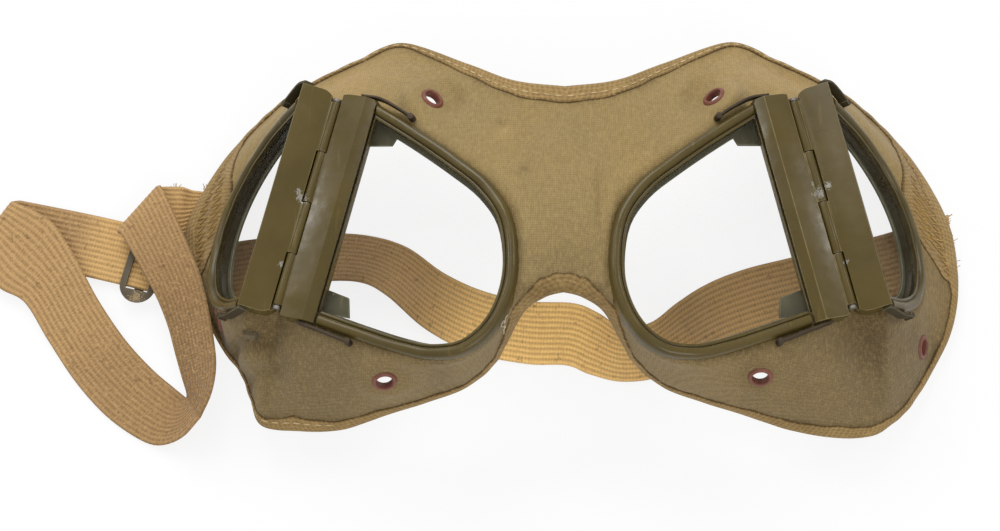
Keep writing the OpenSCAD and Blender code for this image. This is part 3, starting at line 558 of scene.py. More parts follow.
def canvas(name, color, dirt_and_shade, weave=0.55, nap=0.4):
    """Plain-woven cloth: two thread directions, faded patches, soiling and stains, and painted
    shade along its edges, on its lower lobes and in its folds.
    """
    r = fabric(name, 0.94, 0.12)
    turned = r.mapped(turn=(0, 0, 0.05))
    warp = r.bands(weave * MM, turned, "X", 1.6, 2.5)
    weft = r.bands(weave * 1.1 * MM, turned, "Y", 1.6, 2.5)
    cloth = r.add(r.most(warp, weft), r.times(warp, weft))
    slub = r.noise(1700, 3, 0.65, r.mapped(scale=(1, 0.35, 1)))
    patches = r.noise(38, 4, 0.6)
    r.base(r.span(patches, 0.35, 0.7), scaled(color, 0.93), scaled(color, 1.07))
    r.coat(r.span(r.noise(14, 2, 0.5), 0.4, 0.66), scaled(color, 1.08, 1.02, 0.92))
    r.coat(r.fact("shade"), scaled(color, 0.6, 0.6, 0.68))
    r.coat(r.times(r.fact("fade"), 0.8), scaled(color, 1.4, 1.32, 1.3))
    r.coat(r.span(r.noise(800, 3, 0.7), 0.35, 0.65, 0.0, 0.22), scaled(dirt_and_shade, 1.6))
    speck = r.times(r.span(r.noise(420, 2, 0.7), 0.66, 0.74), r.span(r.noise(60, 2), 0.5, 0.62))
    # Painted shade along the frames and the tape, with dirt and specks
    soiled_and_shaded = r.times(r.fact("grime"), r.span(r.noise(90, 5, 0.7), 0.2, 0.75))
    r.coat(r.add(soiled_and_shaded, r.times(speck, 0.45), True), dirt_and_shade)
    r.coat(r.span(cloth, 0.2, 1.5, 0.24, 0.0), scaled(dirt_and_shade, 0.9))
    r.coat(r.span(slub, 0.45, 0.75, 0.0, 0.32), scaled(color, 1.5))
    normal = r.bump(r.add(cloth, r.times(slub, 1.2)), 0.4, 0.1)
    normal = r.bump(r.noise(210, 4, 0.6), nap, 0.6, normal)
    return r.done(r.span(patches, 0.2, 0.8, 0.9, 0.97), normal)


def tape(name, color, dirt_and_shade):
    """Ribbed tape: ribs across its length, a fine knit between them and rubbed edges."""
    r = fabric(name, 0.92, 0.12)
    uv = r.uv()
    ribs = r.bands(1.15, r.mapped(uv, turn=(0, 0, 0.5)), "X", 1.5, 1.2)
    knit = r.add(ribs, r.bands(0.7, uv, "Y", 1.5, 1.5))
    fray = r.noise(1100, 3, 0.7)
    r.base(r.span(r.noise(55, 4, 0.6), 0.3, 0.7), scaled(color, 0.88), scaled(color, 1.12))
    r.coat(r.span(knit, 0.2, 1.4, 0.42, 0.0), dirt_and_shade)
    # Painted shade along the fold where the tape meets the cloth, and on its back
    r.coat(r.times(r.fact("crease"), 0.85), scaled(dirt_and_shade, 0.55))
    r.coat(r.times(r.fact("grime"), r.span(r.noise(80, 4, 0.7), 0.25, 0.7)), dirt_and_shade)
    r.coat(r.span(fray, 0.54, 0.76, 0.0, 0.6), scaled(color, 1.5))
    return r.done(None, r.bump(r.add(knit, r.times(fray, 1.2)), 0.6, 0.2))


def webbing(name, color, shade):
    """Ribbed elastic: long ribs with short cross stitches, darker in the gaps."""
    r = fabric(name, 0.9, 0.15)
    uv = r.uv()
    rib = r.bands(STRAP_W / STRAP_RIBS, uv, "Y")
    stitch = r.bands(0.8, uv, "X", 4.5, 1.1)
    yarn = r.noise(1300, 3, 0.7)
    knit = r.add(r.times(stitch, 0.6), r.times(rib, 0.55))
    grain = r.add(r.times(knit, r.add(rib, 0.3, True)), r.times(yarn, 0.6))
    r.base(r.span(r.noise(24, 3, 0.6), 0.35, 0.68), scaled(color, 0.9), scaled(color, 1.1))
    r.coat(r.fact("worn"), shade)
    # Painted light: paler where the strap lies in shade
    r.coat(r.fact("clean"), scaled(color, 2.5, 2.6, 2.1))
    r.coat(r.span(grain, 0.25, 0.95, 0.46, 0.0), scaled(shade, 0.6))
    r.coat(r.span(yarn, 0.5, 0.7, 0.0, 0.6), scaled(color, 1.35))
    r.coat(r.span(r.noise(420, 3, 0.7), 0.6, 0.72, 0, 0.5), scaled(shade, 0.45))
    return r.done(None, r.bump(grain, 0.6, 0.25))


def paint(name, color, chips=(), rough=0.3, shine=0.36, metal=(0.34, 0.32, 0.27)):
    """Brushed-on paint with small sags, dust, fine scratches and bare chips."""
    r = Recipe(name, Specular_IOR_Level=shine)
    r.base(r.span(r.noise(60, 3, 0.6), 0.3, 0.7), scaled(color, 0.85), scaled(color, 1.15))
    r.coat(r.span(r.noise(900, 4, 0.75), 0.6, 0.8, 0, 0.25), scaled(color, 1.8))
    scratch = r.noise(500, 2, 0.5, r.mapped(scale=(1, 0.06, 1), turn=(0, 0, 0.24)))
    r.coat(r.span(scratch, 0.66, 0.72, 0, 0.25), scaled(color, 2.2))
    # Painted shade in the rolled frames' groove and under their panes
    r.coat(r.times(r.fact("grime"), 0.85), scaled(color, 0.12))
    # Rubbed edges and folds, lighter: paint wear with a painted highlight
    rub_and_highlight = r.times(r.fact("wear"), r.span(r.noise(260, 4, 0.7), 0.36, 0.6, 0.25, 0.85))
    r.coat(rub_and_highlight, tuple(c * 2.2 + pale for c, pale in zip(color, (0.08, 0.08, 0.07))))
    sag = r.bump(r.noise(120, 2, 0.5), 0.35, 0.6)
    normal = r.bump(r.noise(1600, 3, 0.6), 0.12, 0.05, sag)
    if chips:
        ragged = r.times(r.noise(2100, 3, 0.7), 1.9)
        spots = [r.span(r.add(r.near(*chip), ragged), 1.6, 1.68) for chip in chips]
        bare = functools.reduce(r.most, spots)
        r.coat(bare, metal)
        r.tree.links.new(r.times(bare, 0.5), r.shader.inputs["Metallic"])
        normal = r.bump(r.calc("SUBTRACT", 1.0, bare), 0.5, 0.08, normal)
    return r.done(r.span(r.noise(140, 4, 0.6), 0.3, 0.75, rough - 0.07, rough + 0.14), normal)


def steel(name, color):
    """Bare or blackened steel with dull patches and a little rust."""
    r = Recipe(name, Metallic=0.75)
    patch = r.noise(260, 5, 0.65)
    r.base(r.span(patch, 0.35, 0.7), scaled(color, 0.75), scaled(color, 1.2))
    r.coat(r.span(r.noise(600, 4, 0.7), 0.58, 0.72, 0, 0.6), (0.09, 0.045, 0.02))
    return r.done(r.span(patch, 0.3, 0.7, 0.45, 0.7), r.bump(r.noise(1400, 3, 0.6), 0.25, 0.06))


def glass(name):
    """Clear flat glass: faint wipe marks and dust, and a sheen where it is seen from the side."""
    r = Recipe(name, Roughness=0.04, Specular_IOR_Level=0.6)
    r.shader.inputs["Base Color"].default_value = (0.72, 0.72, 0.68, 1.0)
    smear = r.noise(45, 4, 0.6, r.mapped(scale=(1, 2.2, 1), turn=(0, 0, 0.5)))
    dust = r.span(r.noise(2200, 2, 0.6), 0.7, 0.76, 0, 0.2)
    slant = r.node("ShaderNodeLayerWeight", {"Blend": 0.5})["Facing"]
    film = r.most(r.span(smear, 0.35, 0.75, 0.003, 0.015), dust)
    sheen = r.span(slant, 0.5, 0.95, 0.0, 0.012)
    r.tree.links.new(r.add(film, sheen), r.shader.inputs["Alpha"])
    return r.done()


def thread(name, color):
    """Twisted sewing thread."""
    r = Recipe(name, Roughness=0.75, Specular_IOR_Level=0.3, Sheen_Weight=0.2)
    twist = r.bands(0.35 * MM, r.mapped(turn=(0.6, 0.4, 0.8)), "X", 1.0)
    r.base(r.span(r.noise(120, 3), 0.3, 0.7), scaled(color, 0.8), scaled(color, 1.15))
    r.coat(r.span(twist, 0.1, 0.7, 0.35, 0.0), scaled(color, 0.5))
    return r.done(None, r.bump(twist, 0.4, 0.05))


# Each finish: how it is made, its name, its colour or the setting that holds it, and the rest
FINISHES = {
    "cloth": (canvas, "mask canvas", "cloth", (0.075, 0.048, 0.02)),
    "lining": (canvas, "soft lining", "lining", (0.1, 0.07, 0.035), 0.9, 0.6),
    "tape": (tape, "binding tape", "tape", (0.11, 0.065, 0.022)),
    "strap": (webbing, "elastic webbing", "strap", (0.2, 0.115, 0.045)),
    "paint": (paint, "gloss frame paint", "paint", CHIPS, 0.26),
    "retainer": (paint, "grey-green paint", "retainer", (), 0.6, 0.1),
    "slider": (paint, "worn dark paint", (0.085, 0.065, 0.035), SLIDER_CHIPS, 0.42, 0.36,
               (0.3, 0.22, 0.12)),
    "eyelet": (paint, "brown-red enamel", "eyelet", (), 0.36),
    "clip": (steel, "blackened clip steel", (0.075, 0.055, 0.036)),
    "painted clip": (paint, "painted clip steel", (0.05, 0.038, 0.018), (), 0.6, 0.1),
    "pin": (steel, "dull pin steel", (0.3, 0.28, 0.24)),
    "glass": (glass, "flat glass"),
    "thread": (thread, "tan thread", (0.66, 0.5, 0.26)),
    "pale thread": (thread, "pale thread", (0.72, 0.62, 0.42)),
    "gold thread": (thread, "golden thread", (0.45, 0.28, 0.08)),
}


@functools.cache
def finish(key):
    """The material of that key, made once."""
    make, name, *rest = FINISHES[key]
    if rest and isinstance(rest[0], str):
        rest[0] = getattr(bpy.context.scene.goggles_finish, rest[0])
    return make(name, *rest)


# The mask

class HalfMask:
    """One half of the mask as a ring of columns round its two panes, with the tape at its edge."""

    def __init__(self, side):
        self.side = side
        cheek, wing = (CHEEK, WING) if side == "left" else (RIGHT_CHEEK, RIGHT_WING)
        rows = cheek + NOSE + BROW + wing
        count, low, high = len(rows), len(cheek) - 1, len(cheek) + len(NOSE)
        n, lo, hi = count * COLS, low * COLS, high * COLS
        self.nose_from, self.nose_to, self.wing_from = lo, hi, (high + len(BROW)) * COLS
        u = np.arange(n) / COLS
        start = self.starts(rows + rows[:1])
        # The mask's edge, from the brow round to the nose
        points = [row[2] for row in rows[high:] + rows[:low + 1]]
        place = np.where(u >= high - 1e-9, u - high, u + count - high)
        rim = path_at(points, np.minimum(place, len(points) - 1))
        level, show = (np.interp(u, range(count + 1), [row[k] for row in rows + rows[:1]])
                       for k in (3, 4))
        cols = (hi + np.arange(n - hi + lo + 1)) % n
        inward = np.zeros_like(rim)
        inward[cols] = self.way_in(rim[cols], start[cols])
        inner = rim + BINDING_W * inward
        # Over the nose the cloth runs to the middle plane, and has no tape
        ridge = [inner[lo], *NOSE_RIDGE, inner[hi]]
        inner[lo + 1:hi] = path_at(ridge, np.linspace(0, 4, hi + 1 - lo))[1:-1]
        rim[lo + 1:hi] = inner[lo + 1:hi]
        self.rim, self.inward, self.show, self.cols = rim, inward, show, cols
        half = np.full(n, 0.5)
        middle = start + (inner - start) * np.stack([half, half, level], axis=1)
        v = np.linspace(0, 1, 25)[None, :, None]
        lines = (start[:, None] * (1 - v) ** 2 + middle[:, None] * 2 * v * (1 - v)
                 + inner[:, None] * v**2)
        out = rim + (show - 0.35)[:, None] * inward
        steps = np.linspace(0.25, 1, 4)[None, :, None]
        tail = inner[:, None] * (1 - steps) + out[:, None] * steps
        tail[lo + 1:hi] = np.nan
        self.top = np.array([self.even(line, t) for line, t in zip(lines, tail)])
        self.reach = np.array([run_along(column) for column in self.top])
        self.normal = self.normals()
        self.top = self.top + self.relief()[..., None] * self.normal
        self.normal = self.normals()
        self.eyelets = self.lean()
        self.normal = self.normals()

    @staticmethod
    def past_ends(w):
        """A row of vectors with one more at each end, mirrored in the middle plane."""
        flip = np.array([-1, 1, 1])
        return np.vstack([w[1] * flip, w, w[-2] * flip])

    def way_in(self, rim, start):
        """Directions from the edge towards the frames, square to the edge, level in the middle."""
        ext = self.past_ends(rim)
        along = unit(ext[2:] - ext[:-2])
        d = start - rim
        w = unit(d - (d * along).sum(1)[:, None] * along)
        w[[0, -1], 0] = 0
        for _ in range(14):
            e = self.past_ends(w)
            w = unit(e[1:-1] + 0.5 * (e[:-2] + e[2:]))
        return w

    @staticmethod
    def starts(rows):
        """The cloth's inner edge, close round the frames and past the bars' ends."""
        def beside_rim(where, place):
            rim, put = PANES[where]
            q = rim_at(rim, place, EDGE_OFF)
            return put(q[:, 0], q[:, 1], EDGE_DEPTH)

        points, out = [], []
        for where, place, *_ in rows:
            if where == "hinge":
                p = hinge_place(np.multiply(HINGE_START, (1, place, 1)))
            elif where == "front corner":
                p = front_place(FRONT_EDGE - 2.0, CORNER_ALONG, CORNER_DEPTH)
            elif where == "side corner":
                p = side_place(SIDE_WALL - 1.5, CORNER_ALONG, CORNER_DEPTH)
            else:
                p = beside_rim(where, place)
            points.append(p[0])
        t = np.arange(COLS) / COLS
        for i, ((where, place, *_), (beyond, stop, *_)) in enumerate(zip(rows, rows[1:])):
            if where == beyond and where in PANES:
                out.append(beside_rim(where, place + (stop - place) * t))
            else:
                out.append(points[i] + (points[i + 1] - points[i]) * eased(t)[:, None])
        return np.vstack(out)

    @staticmethod
    def even(line, tail):
        """A column's points spread evenly, closer at both ends."""
        if not np.isnan(tail[0, 0]):
            line = np.vstack([line, tail])
        length = run_along(line)
        t = np.linspace(0, 1, RINGS + 1)
        want = (t + 0.04 * np.sin(2 * math.pi * t)) * length[-1]
        return np.stack([np.interp(want, length, line[:, k]) for k in range(3)], axis=1)

    def normals(self):
        """The face's directions, smoothed from column to column."""
        p = self.top
        n = unit(np.cross(np.gradient(p, axis=1), np.roll(p, -1, 0) - np.roll(p, 1, 0)))
        n *= np.sign(n[..., 2].sum())
        for _ in range(3):
            n = unit(n + (np.roll(n, 1, 0) + np.roll(n, -1, 0)) * 0.5)
        n[self.nose_from:self.nose_to + 1, -1, 0] = 0
        return unit(n)

    def relief(self):
        """How far the cloth stands off its plain shape: puffed by the frames, slack elsewhere."""
        p = self.top.reshape(-1, 3)
        x = mirrored(p, self.side)
        off_middle = np.abs(p[:, 0])
        left = self.reach.reshape(-1)
        right = np.repeat(self.reach[:, -1], RINGS + 1) - left
        h = 0.45 * np.exp(-((left - 2.2) / 1.6) ** 2)
        slack = wobble(x, 16, 1) * 0.9 + wobble(x, 7, 2) * 0.28 + wobble(x, 3.4, 3) * 0.08
        free = np.clip(left / 5, 0, 1) * np.clip(right / 3, 0, 1) * np.clip(off_middle / 9, 0.25, 1)
        h += slack * free * 0.75
        column = np.repeat(np.arange(len(self.top)), RINGS + 1)
        pucker = np.sin(column * 0.72 + 2.2 * np.sin(column * 0.11))
        h += 0.16 * pucker * np.exp(-right / 3.2) * np.clip(right, 0, 1) * (off_middle > 4)
        for start, stop, width, height in FOLDS[self.side]:
            start, way = np.array(start), np.subtract(stop, start)
            t = np.clip(((x[:, :2] - start) @ way) / (way @ way), 0, 1)
            gap = np.linalg.norm(x[:, :2] - start - t[:, None] * way, axis=1)
            h += (height * np.exp(-(gap / width) ** 2) * (1 - (2 * t - 1) ** 4)
                  * np.clip(left / 3, 0, 1) * np.clip(right / 2, 0, 1))
        return h.reshape(self.top.shape[:2])

    @staticmethod
    def facts(x, left, right):
        """Where the cloth is faded, dirty and shaded by its place, with painted shade along the
        frames and the tape by its distance from edges.
        """
        def spots(places):
            return sum(share * np.exp(-((x[:, 0] - px) ** 2 + (x[:, 1] - py) ** 2) / r**2)
                       for px, py, r, share in places)

        low = np.clip((-14 - x[:, 1]) / 26, 0, 1)
        facts = {
            "fade": spots(FADED),
            # Painted shade close to the frames and to the tape, with the dirty spots
            "grime": np.exp(-left / 0.9) * 0.8 + np.exp(-right / 0.8) * 0.75 + spots(DIRTY),
            "shade": (eased(low) * 0.62 + 0.25 * np.clip((np.abs(x[:, 0]) - 80) / 12, 0, 1)
                      + spots(SHADED)),
        }
        return {key: np.clip(value, 0, 1) for key, value in facts.items()}

    def shell(self, name, top, low, key, first=0):
        """A ply of cloth between two depths below the face, from a ring outwards, as a mesh."""
        grid, normal = self.top[:, first:], self.normal[:, first:]
        n, m = grid.shape[:2]
        # An eyelet presses the plies together
        thin = (1 - 0.55 * self.pinch[:, first:])[..., None]
        verts = np.vstack([(grid - depth * thin * normal).reshape(-1, 3) for depth in (top, low)])
        quads = skin_faces(n, m, close_rows=True)
        faces = quads + [tuple(k + n * m for k in reversed(f)) for f in quads]
        for i in range(n):
            j = (i + 1) % n
            for k in (0, m - 1):
                q = (i * m + k, j * m + k, j * m + k + n * m, i * m + k + n * m)
                faces.append(q if k else q[::-1])
        left = self.reach[:, first:]
        right = self.reach[:, -1:] - left
        # At the middle plane the cloth runs on, so that it gets no painted edge shade there
        right[np.abs(grid[..., 0]) < 1.0] = 50.0
        right[self.nose_from + 1:self.nose_to] = 50.0
        left, right = (np.tile(d.reshape(-1), 2) for d in (left, right))
        facts = self.facts(mirrored(verts, self.side), left, right)
        faces = self.open_holes(verts, faces)
        return new_piece(name, mirrored(verts, self.side), faces, finish(key), 50, facts=facts)

    def open_holes(self, verts, faces):
        """Round holes for the eyelets: points are pushed out to the hole's edge."""
        drop = np.zeros(len(verts), bool)
        for c, n in self.eyelets:
            d = verts - c
            along = d @ n
            flat = d - along[:, None] * n
            r = np.linalg.norm(flat, axis=1)
            hit = (r < HOLE_R) & (np.abs(along) < 6)
            drop |= hit
            push = (HOLE_R - r[hit]) / np.maximum(r[hit], 0.05)
            verts[hit] += flat[hit] * push[:, None]
        return [f for f in faces if not all(drop[k] for k in f)]

    def lean(self):
        """Each eyelet's middle and direction; the cloth round it is laid flat across them."""
        out = []
        self.pinch = np.zeros(self.top.shape[:2])
        for x, y, *tilt in EYELETS[self.side]:
            c, n = self.near(x, y)
            leaned = unit(n + np.array([*tilt, 0]))
            d = self.top - c
            w = eased(np.clip((FLAT_ROUND - np.linalg.norm(d, axis=2)) / RUN_OUT, 0, 1))
            w = (w * (np.abs((d * n).sum(2)) < 6))[..., None]
            self.top = self.top - w * ((d * leaned).sum(2) / (n @ leaned))[..., None] * n
            near = np.clip((8 - np.linalg.norm(self.top - c, axis=2)) / 4.5, 0, 1)
            self.pinch = np.maximum(self.pinch, eased(near))
            out.append((c, leaned))
        return out

    def near(self, x, y):
        """The face's point above a place in the plan, and its direction."""
        flat = ((self.top[..., :2] - np.array([x, y])) ** 2).sum(-1)
        i, k = np.unravel_index(np.argmin(flat), flat.shape)
        some = [self.normal[(i + j) % len(self.top), max(k - 3, 0):k + 4] for j in range(-3, 4)]
        return self.top[i, k] + 0.0, unit(np.vstack(some).mean(0))

    def sewn_end(self, share, lift):
        """Points over the wing at the temple, from the frame (share 0) to the tape (share 1)."""
        cols = self.wing_from + np.arange(int(SEWN_FROM * COLS), int(SEWN_TO * COLS) + 1)
        t = np.linspace(0, 1, len(cols))
        whole = self.reach[cols, -1]
        close = np.clip(t / 0.6, 0, 1) * np.clip((1 - t) / 0.16, 0, 1)
        edge = whole - (whole - 0.9) * close ** 0.8 + 0.12 * np.sin(t * 41) * close
        want = edge + (whole - edge) * share
        over = self.top[cols] + lift * self.normal[cols]
        return np.array([[np.interp(want[j], self.reach[col], over[j, :, k]) for k in range(3)]
                         for j, col in enumerate(cols)])

    def patch(self, name):
        """The strap's sewn end under its tape, beside the pane at the temple."""
        share = [0.0, 0.03, 0.1, 0.3, 0.5, 0.7, 0.85, 1.0]
        lifts = [-0.1, 0.3, 0.42, 0.46, 0.44, 0.42, 0.4, 0.3]
        loops = [self.sewn_end(q, h) for q, h in zip(share, lifts)]
        loops += [self.sewn_end(q, -0.15) for q in share[::-1]]
        grid = np.stack(loops, axis=1)
        count, m = grid.shape[:2]
        across = np.linalg.norm(grid - grid[:, 7:8], axis=2)
        uv = np.stack([np.repeat(run_along(grid[:, 7]), m), across.reshape(-1)], axis=1)
        # Painted shade along the patch's edge next to the frame, and even dirt over it
        facts = {"crease": np.tile([1.0, 0.9, 0.1] + [0.0] * (m - 3), count),
                 "grime": np.full(count * m, 0.35)}
        return new_piece(name, mirrored(grid.reshape(-1, 3), self.side), tube_faces(count, m),
                         finish("tape"), 60, uv=uv, facts=facts)

    def edge_frame(self):
        """Rim point, way in, face direction and tape width for each taped column."""
        rim, inward = self.rim[self.cols], self.inward[self.cols]
        ext = self.past_ends(rim)
        n = unit(np.cross(unit(ext[2:] - ext[:-2]), inward))
        n *= np.sign(n[:, 2].sum())
        return rim, inward, n, self.show[self.cols]

    def binding(self, name):
        """Tape folded over the edge, with a fold line where it meets the cloth, darkened with
        painted shade.
        """
        rim, inward, n, show = self.edge_frame()
        t = np.arange(len(rim))
        show = show * (1 + 0.06 * np.sin(t * 0.31) + 0.04 * np.sin(t * 0.83 + 1))
        bulge = 1 + 0.12 * np.sin(t * 0.5 + np.sin(t * 0.13) * 3)
        # The painted shade line does not show where the strap's end is sewn on
        seam = np.where((t > 8.7 * COLS) & (t < 12.6 * COLS), 0.15, 1.0)
        rings, uv, crease = [], [], []
        run = 0.0
        for j, (q, h, c) in enumerate(TAPE_SECTION):
            wide = show if j < TAPE_FACE else np.maximum(show, 3.2)
            height = h * (bulge if h > 0 else np.ones(len(t)))
            ring = rim + (wide * q)[:, None] * inward + height[:, None] * n
            if rings:
                run += np.linalg.norm(ring - rings[-1], axis=1).mean()
            rings.append(ring)
            uv.append(np.stack([run_along(rim), np.full(len(t), run)], axis=1))
            crease.append(c * seam)
        world = mirrored(np.stack(rings, axis=1).reshape(-1, 3), self.side)
        grime = 0.35 + 0.5 * np.exp(-((world[:, 0] - 5) ** 2 + (world[:, 1] + 27) ** 2) / 300)
        facts = {"crease": np.stack(crease, axis=1).reshape(-1), "grime": grime}
        return new_piece(name, world, tube_faces(len(t), len(rings)), finish("tape"), 60,
                         uv=np.stack(uv, axis=1).reshape(-1, 2), facts=facts)


@functools.cache
def half_of(side):
    """A side's half of the mask, worked out once."""
    return HalfMask(side)


def eyelet_ring(name, wanted, body):
    """Rolled eyelets: a domed flange on the face, a barrel through the cloth and a flat back."""
    turns = 40
    verts, faces = [], []
    for side, which in wanted:
        c, n = (mirrored(v, side) for v in half_of(side).eyelets[which])
        x = unit(np.cross(n, [0.3, 1.0, 0.1]))
        y = np.cross(n, x)
        first = len(verts)
        for i in range(turns):
            a = 2 * math.pi * i / turns
            d = math.cos(a) * x + math.sin(a) * y
            dent = 1 + 0.012 * math.sin(3 * a + which)
            verts += [c + d * r * dent + n * h for r, h in EYELET_SECTION]
        faces += skin_faces(turns, len(EYELET_SECTION), True, True, first)
    obj = new_piece(name, verts, faces, finish("eyelet"), 40)
    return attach(obj, body)


def across_hinge(obj):
    """Bakes the object's placement into its mesh."""
    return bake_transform(obj)


# Frames

def rolled_frame(name, side, where, node):
    """Sheet frame with its rim rolled over, swept round the pane from the bar to the bar."""
    rim, put = PANES[where]
    u = np.linspace(0, len(rim) - 1, (len(rim) - 1) * 14 + 1)
    rings, dark = [], []
    for d, n in FRAME_SECTION:
        q = rim_at(rim, u, d)
        rings.append(put(q[:, 0], q[:, 1], n + 0.05 * np.sin(u * 5 + d)))
        # Painted shade in the bead's groove and on the wall under the pane
        dark.append(np.exp(-((d + 2.76) / 0.13) ** 2) + (0.85 if d < -3.2 and n < -2.5 else 0))
    verts = np.stack(rings, axis=1).reshape(-1, 3)
    faces = tube_faces(len(u), len(rings))
    obj = new_piece(name, mirrored(verts, side), faces, finish("paint"), 55,
                    facts={"grime": np.clip(np.tile(dark, len(u)), 0, 1)})
    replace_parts(obj, node)
    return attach(obj, "goggles" if where == "front" else side + "_side")


def mark_folds(bar, side):
    """Thin paint and a painted highlight along the sheet's folds: their narrow faces are marked."""
    mesh = bar.data
    middle, way = mirrored(HINGE_MIDDLE, side), mirrored(HINGE_WAY, side)
    for poly in mesh.polygons:
        p = np.array([mesh.vertices[k].co for k in poly.vertices]) / MM
        long_side = np.linalg.norm(np.roll(p, 1, 0) - p, axis=1).max()
        away = np.linalg.norm(np.cross(p.mean(0) - middle, way))
        if poly.area / MM**2 < 0.4 * long_side and long_side > 8 and away > 3.2:
            for k in poly.loop_indices:
                mesh.attributes["wear"].data[k].value = 0.75


def seat_tabs(flange, side):
    """The flange's two tabs run up to the bar."""
    origin, ahead = front_place(0, 0, 0)[0], front_place(1, 0, 0)[0]
    tabs, bar = FRONT_EDGE + 0.6, FRONT_EDGE - 1.3
    for v in flange.data.vertices:
        p = mirrored(np.array(v.co) / MM, side)
        along = (p - origin) @ (ahead - origin)
        if along < tabs:
            v.co = Vector(mirrored(p + (bar - along) * (ahead - origin), side) * MM)


def dress(node, key):
    """A CAD node's own mesh with a better material."""
    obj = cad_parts[node]
    obj.data.materials.clear()
    obj.data.materials.append(finish(key))


# Strap

def band(name, crossings, u0, u1, start):
    """Ribbed elastic along its crossings, with round edges; and its length in mm."""
    a, b = (np.array([(*c[k], FLAT)[:3] for c in crossings], float) for k in (0, 1))
    dense = np.linspace(u0, u1, int((u1 - u0) * 24) + 1)
    run = run_along((path_at(a, dense) + path_at(b, dense)) / 2)
    n = max(4, int(run[-1] / 0.85)) + 1
    u = np.interp(np.linspace(0, run[-1], n), run, dense)
    p, q = path_at(a, u), path_at(b, u)
    for edge in (p, q):
        edge[:, 2] = np.maximum(edge[:, 2], FLAT)
    across = unit(q - p)
    along = unit(np.gradient((p + q) / 2, axis=0))
    along = unit(along - (along * across).sum(1)[:, None] * across)
    up = unit(np.cross(across, along))
    w = np.linspace(0, 1, STRAP_RIBS * 6 + 1)
    half = FLAT * np.sqrt(np.clip(1 - (2 * np.abs(w - 0.5)) ** 16, 0.0, 1))
    crest = 0.5 - 0.5 * np.cos(2 * math.pi * STRAP_RIBS * w)
    middle = p[:, None] + (q - p)[:, None] * w[None, :, None]
    thick = up[:, None] * (half * (0.78 + 0.22 * crest))[None, :, None]
    ring = np.concatenate([middle + thick, (middle - thick)[:, -2:0:-1]], axis=1)
    m = ring.shape[1]
    length = np.linspace(0, run[-1], n)
    v = np.concatenate([w, w[-2:0:-1]]) * STRAP_W
    uv = np.stack(np.broadcast_arrays((start + length)[:, None], v[None, :]), axis=-1)
    share = np.repeat(np.interp(length, *STRAP_WEAR_AND_LIGHT[name]), m)
    obj = new_piece(name, ring.reshape(-1, 3), tube_faces(n, m), finish("strap"), 50,
                    uv=uv.reshape(-1, 2),
                    facts={"worn": np.maximum(share, 0), "clean": np.maximum(-share, 0)})
    return obj, run[-1]


# Stitches

@functools.cache
def stitch_tree():
    """Turns every edge of a mesh into one stitch lying along it."""
    tree = bpy.data.node_groups.new("Stitches", "GeometryNodeTree")
    face = tree.interface
    face.new_socket("Geometry", in_out="INPUT", socket_type="NodeSocketGeometry")
    for label, *limits in (("Thread Radius", 0.0002, 0.00005, 0.001),
                           ("Length Share", 0.5, 0.1, 0.7)):
        s = face.new_socket(label, in_out="INPUT", socket_type="NodeSocketFloat")
        s.default_value, s.min_value, s.max_value = limits
    face.new_socket("Thread", in_out="INPUT", socket_type="NodeSocketMaterial")
    face.new_socket("Geometry", in_out="OUTPUT", socket_type="NodeSocketGeometry")
    add = functools.partial(add_node, tree)
    given = add("NodeGroupInput")
    ends = add("GeometryNodeInputMeshEdgeVertices")
    way = add("ShaderNodeVectorMath", {0: ends["Position 1"], 1: ends["Position 2"]},
              operation="SUBTRACT")[0]
    kept = add("GeometryNodeStoreNamedAttribute",
               {"Geometry": given["Geometry"], "Name": "way", "Value": way},
               data_type="FLOAT_VECTOR", domain="EDGE")[0]
    points = add("GeometryNodeMeshToPoints", {"Mesh": kept}, mode="EDGES")[0]
    way = add("GeometryNodeInputNamedAttribute", {"Name": "way"}, data_type="FLOAT_VECTOR")[0]
    turned = add("FunctionNodeAlignRotationToVector", {"Vector": way}, axis="Z")[0]
    size = add("ShaderNodeVectorMath", {0: way}, operation="LENGTH")["Value"]
    half = add("ShaderNodeMath", {0: size, 1: given["Length Share"]}, operation="MULTIPLY")[0]
    thick = given["Thread Radius"]
    scale = add("ShaderNodeCombineXYZ", {0: thick, 1: thick, 2: half})[0]
    grain = add("GeometryNodeMeshUVSphere", {"Segments": 6, "Rings": 5, "Radius": 1.0})[0]
    placed = add("GeometryNodeInstanceOnPoints",
                 {"Points": points, "Instance": grain, "Rotation": turned, "Scale": scale})[0]
    real = add("GeometryNodeRealizeInstances", {0: placed})[0]
    dyed = add("GeometryNodeSetMaterial", {"Geometry": real, "Material": given["Thread"]})[0]
    add("NodeGroupOutput", {0: dyed})
    return tree


def stitched(name, pairs, radius, key, share=0.5):
    """Stitches between pairs of points in mm."""
    verts = np.asarray(pairs, float).reshape(-1, 3) * MM
    mesh = bpy.data.meshes.new(name)
    mesh.from_pydata(verts.tolist(), [(k, k + 1) for k in range(0, len(verts), 2)], [])
    obj = stand(name, mesh)
    tree = stitch_tree()
    mod = obj.modifiers.new("Stitches", "NODES")
    mod.node_group = tree
    ids = {s.name: s.identifier for s in tree.interface.items_tree if s.in_out == "INPUT"}
    mod[ids["Thread Radius"]] = radius * MM
    mod[ids["Length Share"]] = share
    mod[ids["Thread"]] = finish(key)
    apply_modifiers(obj)
    for poly in obj.data.polygons:
        poly.use_smooth = True
    if not obj.data.materials:
        obj.data.materials.append(finish(key))
    return obj


def running(line, lift, pitch, gap):
    """Pairs of ends of running stitches along a line of points, lifted off it."""
    run, lifted = run_along(line), line + lift
    pairs = []
    at = 0.6
    while at + pitch - gap < run[-1]:
        pairs.append([[np.interp(s, run, lifted[:, k]) for k in range(3)]
                      for s in (at, at + pitch - gap)])
        at += pitch
    return pairs


def thread_path(points, count):
    """Short pieces that follow a curve through the points."""
    p = path_at(points, np.linspace(0, len(points) - 1, count))
    return [p[k:k + 2] for k in range(count - 1)]


